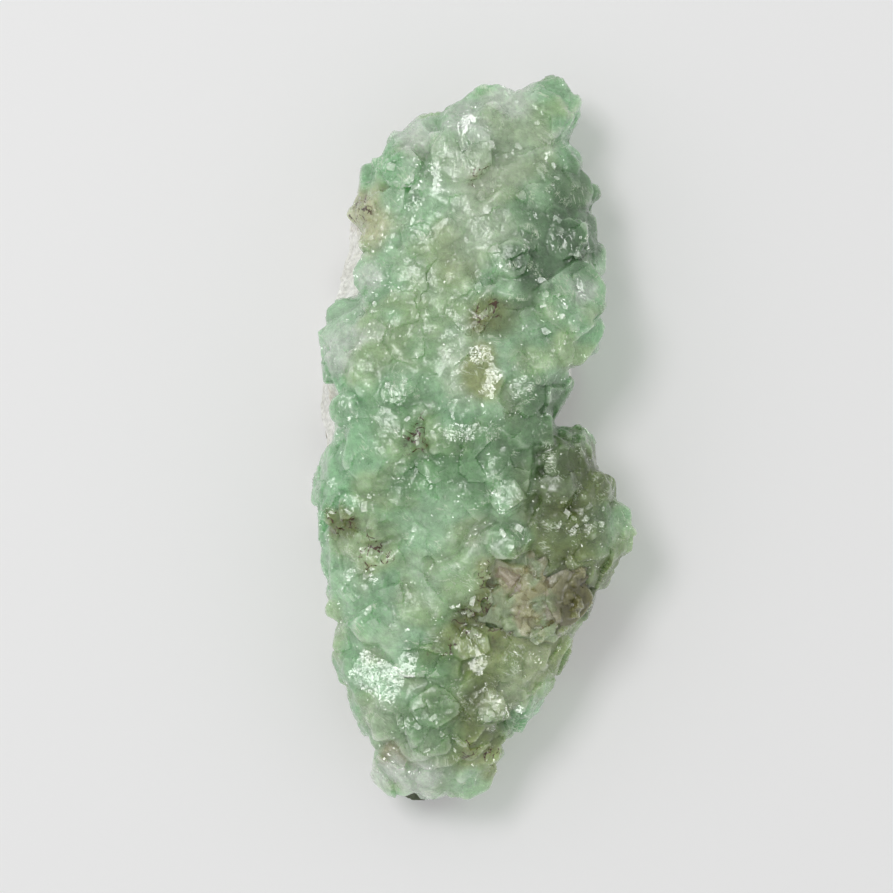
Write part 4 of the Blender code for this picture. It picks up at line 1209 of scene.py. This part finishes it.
def crust_colour(tree, place, grain):
    """The crust's tint, partly painted shade, with brown stains and their hairline cracks, painted
    highlights on the ridges, and threads.

    Threads and cells are drawn a few tenths of a mm wide, coarser than the real ones, to show.
    """
    tint = node(tree, "Attribute", out="Color", attribute_name="tint")
    stain = node(tree, "Attribute", out="Fac", attribute_name="stain")
    speck = patches(tree, place, 1.6, 2, (0.35, 0.75), (0.0, 0.45), 4.0, 0.7)
    swirl = node(tree, "TexNoise", place, 1 / 5.0, 2.0, out="Color")
    swirl = node(tree, "VectorMath", swirl, (0.5, 0.5, 0.5), operation="SUBTRACT")
    bent = node(tree, "VectorMath", swirl, (9.0, 9.0, 9.0), place, operation="MULTIPLY_ADD")
    crack = node(tree, "TexVoronoi", bent, 0.35, feature="DISTANCE_TO_EDGE")
    crack = node(tree, "MapRange", crack, 0.065, 0.02, 0.0, 1.7)
    crack = node(tree, "Math", crack, patches(tree, place, 1.0, 23, (0.46, 0.56), detail=2.0))
    # Painted highlight: points that stand out along ridges are lightened towards pale green, as if they
    # caught the light.
    painted_ridge_highlight = node(tree, "Attribute", out="Fac", attribute_name="edge")
    painted_ridge_highlight = node(tree, "MapRange", painted_ridge_highlight, 0.02, 0.08, 0.0, 0.3)
    colour = layered(tree, tint, [(node(tree, "Math", stain, speck), "#88802C"),
                                  (node(tree, "Math", stain, crack), "#4A2E10"), (painted_ridge_highlight, "#DDEAD6")])
    mottle = patches(tree, place, 1.6, 5, (0.3, 0.7), (0.88, 1.1), 4.0, 0.65)
    thread = node(tree, "MapRange", streaks(tree, grain, 0.18, 1.4), 0.3, 0.7, 0.88, 1.12)
    cell = node(tree, "SeparateColor", cells(tree, grain, 0.7, 1.1))
    cell = node(tree, "MapRange", cell, 0.0, 1.0, 0.94, 1.06)
    colour = shaded(tree, colour, node(tree, "Math", node(tree, "Math", mottle, thread), cell))
    rays = node(tree, "MapRange", streaks(tree, grain, 0.3, 4.0, 1.0, 0.5), 0.56, 0.64)
    some = patches(tree, place, 3.5, 21, (0.55, 0.62), (0.0, 0.6), 1.0, 0.5)
    return layered(tree, colour, [(node(tree, "Math", rays, some), "#E4EFD8")])


def glinting(tree, place, grain, bump):
    """The way the crust's surface faces: bumpy, but for the flakes and mirrors that catch the key.

    Flakes are cells picked at random, and each leans its own way from the flat way. Mirrors are
    the marked places where their share is over the streaks. Real cleavage flakes are finer than
    these, which are drawn 0.2 and 0.42 mm wide to show.
    """
    shiny, leans = [], []
    glitter = patches(tree, place, 5.0, 17, (0.52, 0.66), (0.0, 0.05), detail=2.0)
    for size, most, seed in FLAKES:
        lean = cells(tree, grain, size, 1.8 * size, seed)
        chance = node(tree, "SeparateColor", lean)
        if seed:
            chance = node(tree, "Math", chance, glitter, operation="ADD")
        shiny.append(node(tree, "MapRange", chance, most, most + 0.004))
        leans.append(lean)
    some = node(tree, "Math", *shiny, operation="MAXIMUM")
    lean = node(tree, "Mix", shiny[1], *leans)
    mirror = node(tree, "Attribute", out="Fac", attribute_name="mirror")
    mirror = node(tree, "Math", mirror, streaks(tree, grain, 0.35, 1.6, 3.0, 0.55), operation="SUBTRACT")
    some = node(tree, "Math", some, node(tree, "MapRange", mirror, 0.0, 0.02), operation="MAXIMUM")
    lean = node(tree, "VectorMath", lean, (0.5, 0.5, 0.5), operation="SUBTRACT")
    flat = FLAT_WAY.normalized()
    lean = node(tree, "VectorMath", lean, (0.0, 0.3, 0.3), flat, operation="MULTIPLY_ADD")
    return node(tree, "Mix", some, bump, node(tree, "VectorMath", lean, operation="NORMALIZE"))


def milky_apophyllite():
    """Grown apophyllite: glassy faces over a milky green inside.

    Light goes in, scatters within a few mm and comes out soft, so that the crystals melt into
    each other; clear places show the pale rock through them; tiny flat ends and cleavages glint.
    """
    finish, tree = new_finish("milky_apophyllite", {
        "IOR": 1.535, "Subsurface Weight": 1.0, "Subsurface Radius": (0.8, 1.0, 0.8),
        "Subsurface Scale": 0.006, "Coat Weight": 0.65, "Coat Roughness": 0.05})
    place = plan_mm(tree)
    grain = node(tree, "UVMap", uv_map="grain")
    clear = patches(tree, place, 4.0, 7, (0.4, 0.7), (0.0, 0.25))
    veil = node(tree, "Attribute", out="Fac", attribute_name="veil")
    veil = node(tree, "MapRange", veil, 0.3, 1.0, 0.0, 0.16)
    hatch = streaks(tree, grain, 0.35, 5.0)
    relief = node(tree, "Math", hatch, 0.6, cloud(tree, place, 0.5, 11), operation="MULTIPLY_ADD")
    bump = node(tree, "Bump", 0.7, 0.0001, None, relief)
    facing = glinting(tree, place, grain, bump)
    lay(tree, {"Base Color": crust_colour(tree, place, grain),
               "Transmission Weight": node(tree, "Math", clear, veil, operation="ADD"),
               "Roughness": patches(tree, place, 2.2, 13, (0.3, 0.7), (0.12, 0.4)),
               "Normal": facing, "Coat Normal": facing})
    absorb = node(tree, "VolumeAbsorption", (0.55, 0.86, 0.62, 1.0), 70.0)
    lamp = node(tree, "LightPath", out="Is Shadow Ray")
    clear = node(tree, "BsdfTransparent", linear("#A0AFA2"))
    both = node(tree, "MixShader", lamp, tree.nodes["Principled BSDF"].outputs[0], clear)
    output = tree.nodes["Material Output"]
    wire(tree, [output.inputs["Surface"], output.inputs["Volume"]], [both, absorb])
    return finish


def chalky_zeolite():
    """Broken zeolite and basalt: chalky white grains, with dark rock low down and at the tip.

    Matt and sugary, with greyer hollows and a few rusty marks. The grit is drawn 0.4 mm wide,
    coarser than the real one, to show.
    """
    finish, tree = new_finish("chalky_zeolite", {"Roughness": 0.85})
    place = plan_mm(tree)
    chalk = patches(tree, place, 3.0, 0, (0.35, 0.65), detail=4.0)
    rust = patches(tree, place, 6.0, 4, (0.58, 0.72), (0.0, 0.5))
    dark = patches(tree, place, 9.0, 6, (0.55, 0.6))
    low = node(tree, "MapRange", node(tree, "SeparateXYZ", place, out="Z"), 7.0, 4.0)
    tip = node(tree, "MapRange", node(tree, "SeparateXYZ", place, out="Y"), -55.5, -58.5)
    dark = node(tree, "Math", node(tree, "Math", low, dark), tip, operation="MAXIMUM")
    colour = layered(tree, linear("#E6E6DE"), [(chalk, "#FBFBF6"), (rust, "#A88F6A"), (dark, "#5C6450")])
    bump = node(tree, "Bump", 0.6, 0.0002, None, cloud(tree, place, 0.4, 9, 4.0, 0.7))
    speck = patches(tree, place, 0.6, 8, (0.3, 0.7), (0.8, 1.15))
    lay(tree, {"Base Color": shaded(tree, colour, speck), "Normal": bump})
    return finish


def pearly_stilbite():
    """Stilbite: glassy cream blades, each of its own tone, with a pearly shine, rusty feet and painted
    shade towards the right edge.

    Light scatters a few mm in. Threads up the blades are drawn 0.25 mm wide, coarser than the
    real ones, to show.
    """
    finish, tree = new_finish("pearly_stilbite", {
        "Roughness": 0.25, "Subsurface Weight": 1.0, "Subsurface Radius": (0.9, 1.0, 0.8),
        "Subsurface Scale": 0.006, "Coat Weight": 0.8, "Coat Roughness": 0.06})
    place = plan_mm(tree)
    tone, veil, edge = (node(tree, "Attribute", out="Fac", attribute_name=name)
                        for name in ("tone", "veil", "edge"))
    green = patches(tree, place, 5.0, 19, (0.45, 0.6), (0.0, 0.8), 2.0, 0.5)
    pink = node(tree, "MapRange", veil, 0.78, 0.92, 0.0, 0.5)
    stain = patches(tree, place, 4.0, 3, (0.54, 0.68), (0.0, 0.6), 4.0, 0.7)
    deep = node(tree, "MapRange", edge, -0.01, -0.06, 0.0, 0.75)
    flat = node(tree, "VectorMath", place, (1, 1, 0))
    # Painted shade: the colour darkens to olive within about 8 mm of the corner set above.
    away = node(tree, "VectorMath", flat, PAINTED_SHADE_CORNER, operation="DISTANCE")
    colour = layered(tree, linear("#9C9A72"), [
        (tone, "#BCBE9C"), (green, "#93A983"), (pink, "#B8A8A2"),
        (node(tree, "Math", stain, deep, operation="MAXIMUM"), "#7C6A34"),
        (node(tree, "MapRange", away, 8.0, 2.8), "#66643F")])
    thread = streaks(tree, node(tree, "UVMap", uv_map="grain"), 0.25, 3.0)
    bump = node(tree, "Bump", 0.7, 0.0001, None, thread)
    flat = FLAT_WAY.normalized()
    pearly = node(tree, "VectorMath", bump, flat, operation="DOT_PRODUCT")
    pearly = node(tree, "MapRange", pearly, 0.93, 0.98, 0.0, 0.75)
    shade = node(tree, "MapRange", thread, 0.3, 0.7, 0.82, 1.18)
    lay(tree, {"Base Color": shaded(tree, colour, shade), "Normal": bump,
               "Coat Normal": node(tree, "Mix", pearly, bump, flat[:] + (1.0,))})
    return finish


def stage_and_light():
    """A floor, a bright even surround, a soft key that the flat way mirrors, and the camera.

    The floor is matt white board: pale, with soft shadows and no shine.
    """
    bpy.ops.mesh.primitive_plane_add(size=4)
    floor = bpy.context.object
    floor.name = "floor"
    floor.data.materials.append(new_finish("matt_white_board", {"Base Color": linear("#F4F4F4"),
                                                                "Roughness": 0.9})[0])
    floor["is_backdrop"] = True
    scene = bpy.context.scene
    scene.world = bpy.data.worlds.new("even_white")
    scene.world.use_nodes = True
    nodes = scene.world.node_tree.nodes
    back = nodes.get("Background") or nodes.new("ShaderNodeBackground")
    back.inputs["Color"].default_value = (1, 1, 1, 1)
    back.inputs["Strength"].default_value = SURROUND
    half = FLAT_WAY.normalized()
    way = (2 * half.dot(Vector((0, 0, 1))) * half - Vector((0, 0, 1))).normalized()
    key = bpy.data.lights.new("key", "AREA")
    key.size, key.energy = KEY_SIZE, KEY_WATTS
    lamp = bpy.data.objects.new("key", key)
    scene.collection.objects.link(lamp)
    lamp.location = way * KEY_AWAY
    lamp.rotation_euler = way.to_track_quat("Z", "Y").to_euler()
    camera = bpy.data.cameras.new("camera")
    camera.sensor_width = SENSOR
    camera.lens = SENSOR * CAMERA_AWAY / (VIEW_WIDTH * MM)
    view = bpy.data.objects.new("camera", camera)
    scene.collection.objects.link(view)
    view.location = (VIEW_MIDDLE[0] * MM, VIEW_MIDDLE[1] * MM, CAMERA_AWAY + VIEW_HEIGHT * MM)
    scene.camera = view
    scene.view_settings.view_transform = "Standard"


def dress(piece, finish, replaced):
    """Give a piece its finish, hang it under the root, and hide the solid model's part that it replaces.
    """
    piece.data.materials.clear()
    piece.data.materials.append(finish)
    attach(piece, "root")
    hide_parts(replaced)


crust = apophyllite_crust()
dress(crust, milky_apophyllite(), "apophyllite_crust")
dress(broken_rock(), chalky_zeolite(), "matrix")
dress(stilbite_sheaves(), pearly_stilbite(), "stilbite_patch")
stage_and_light()
boxes = {"cad": CAD_BOX, "visual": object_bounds()}
{name: [list(corner) for corner in box] for name, box in boxes.items()}
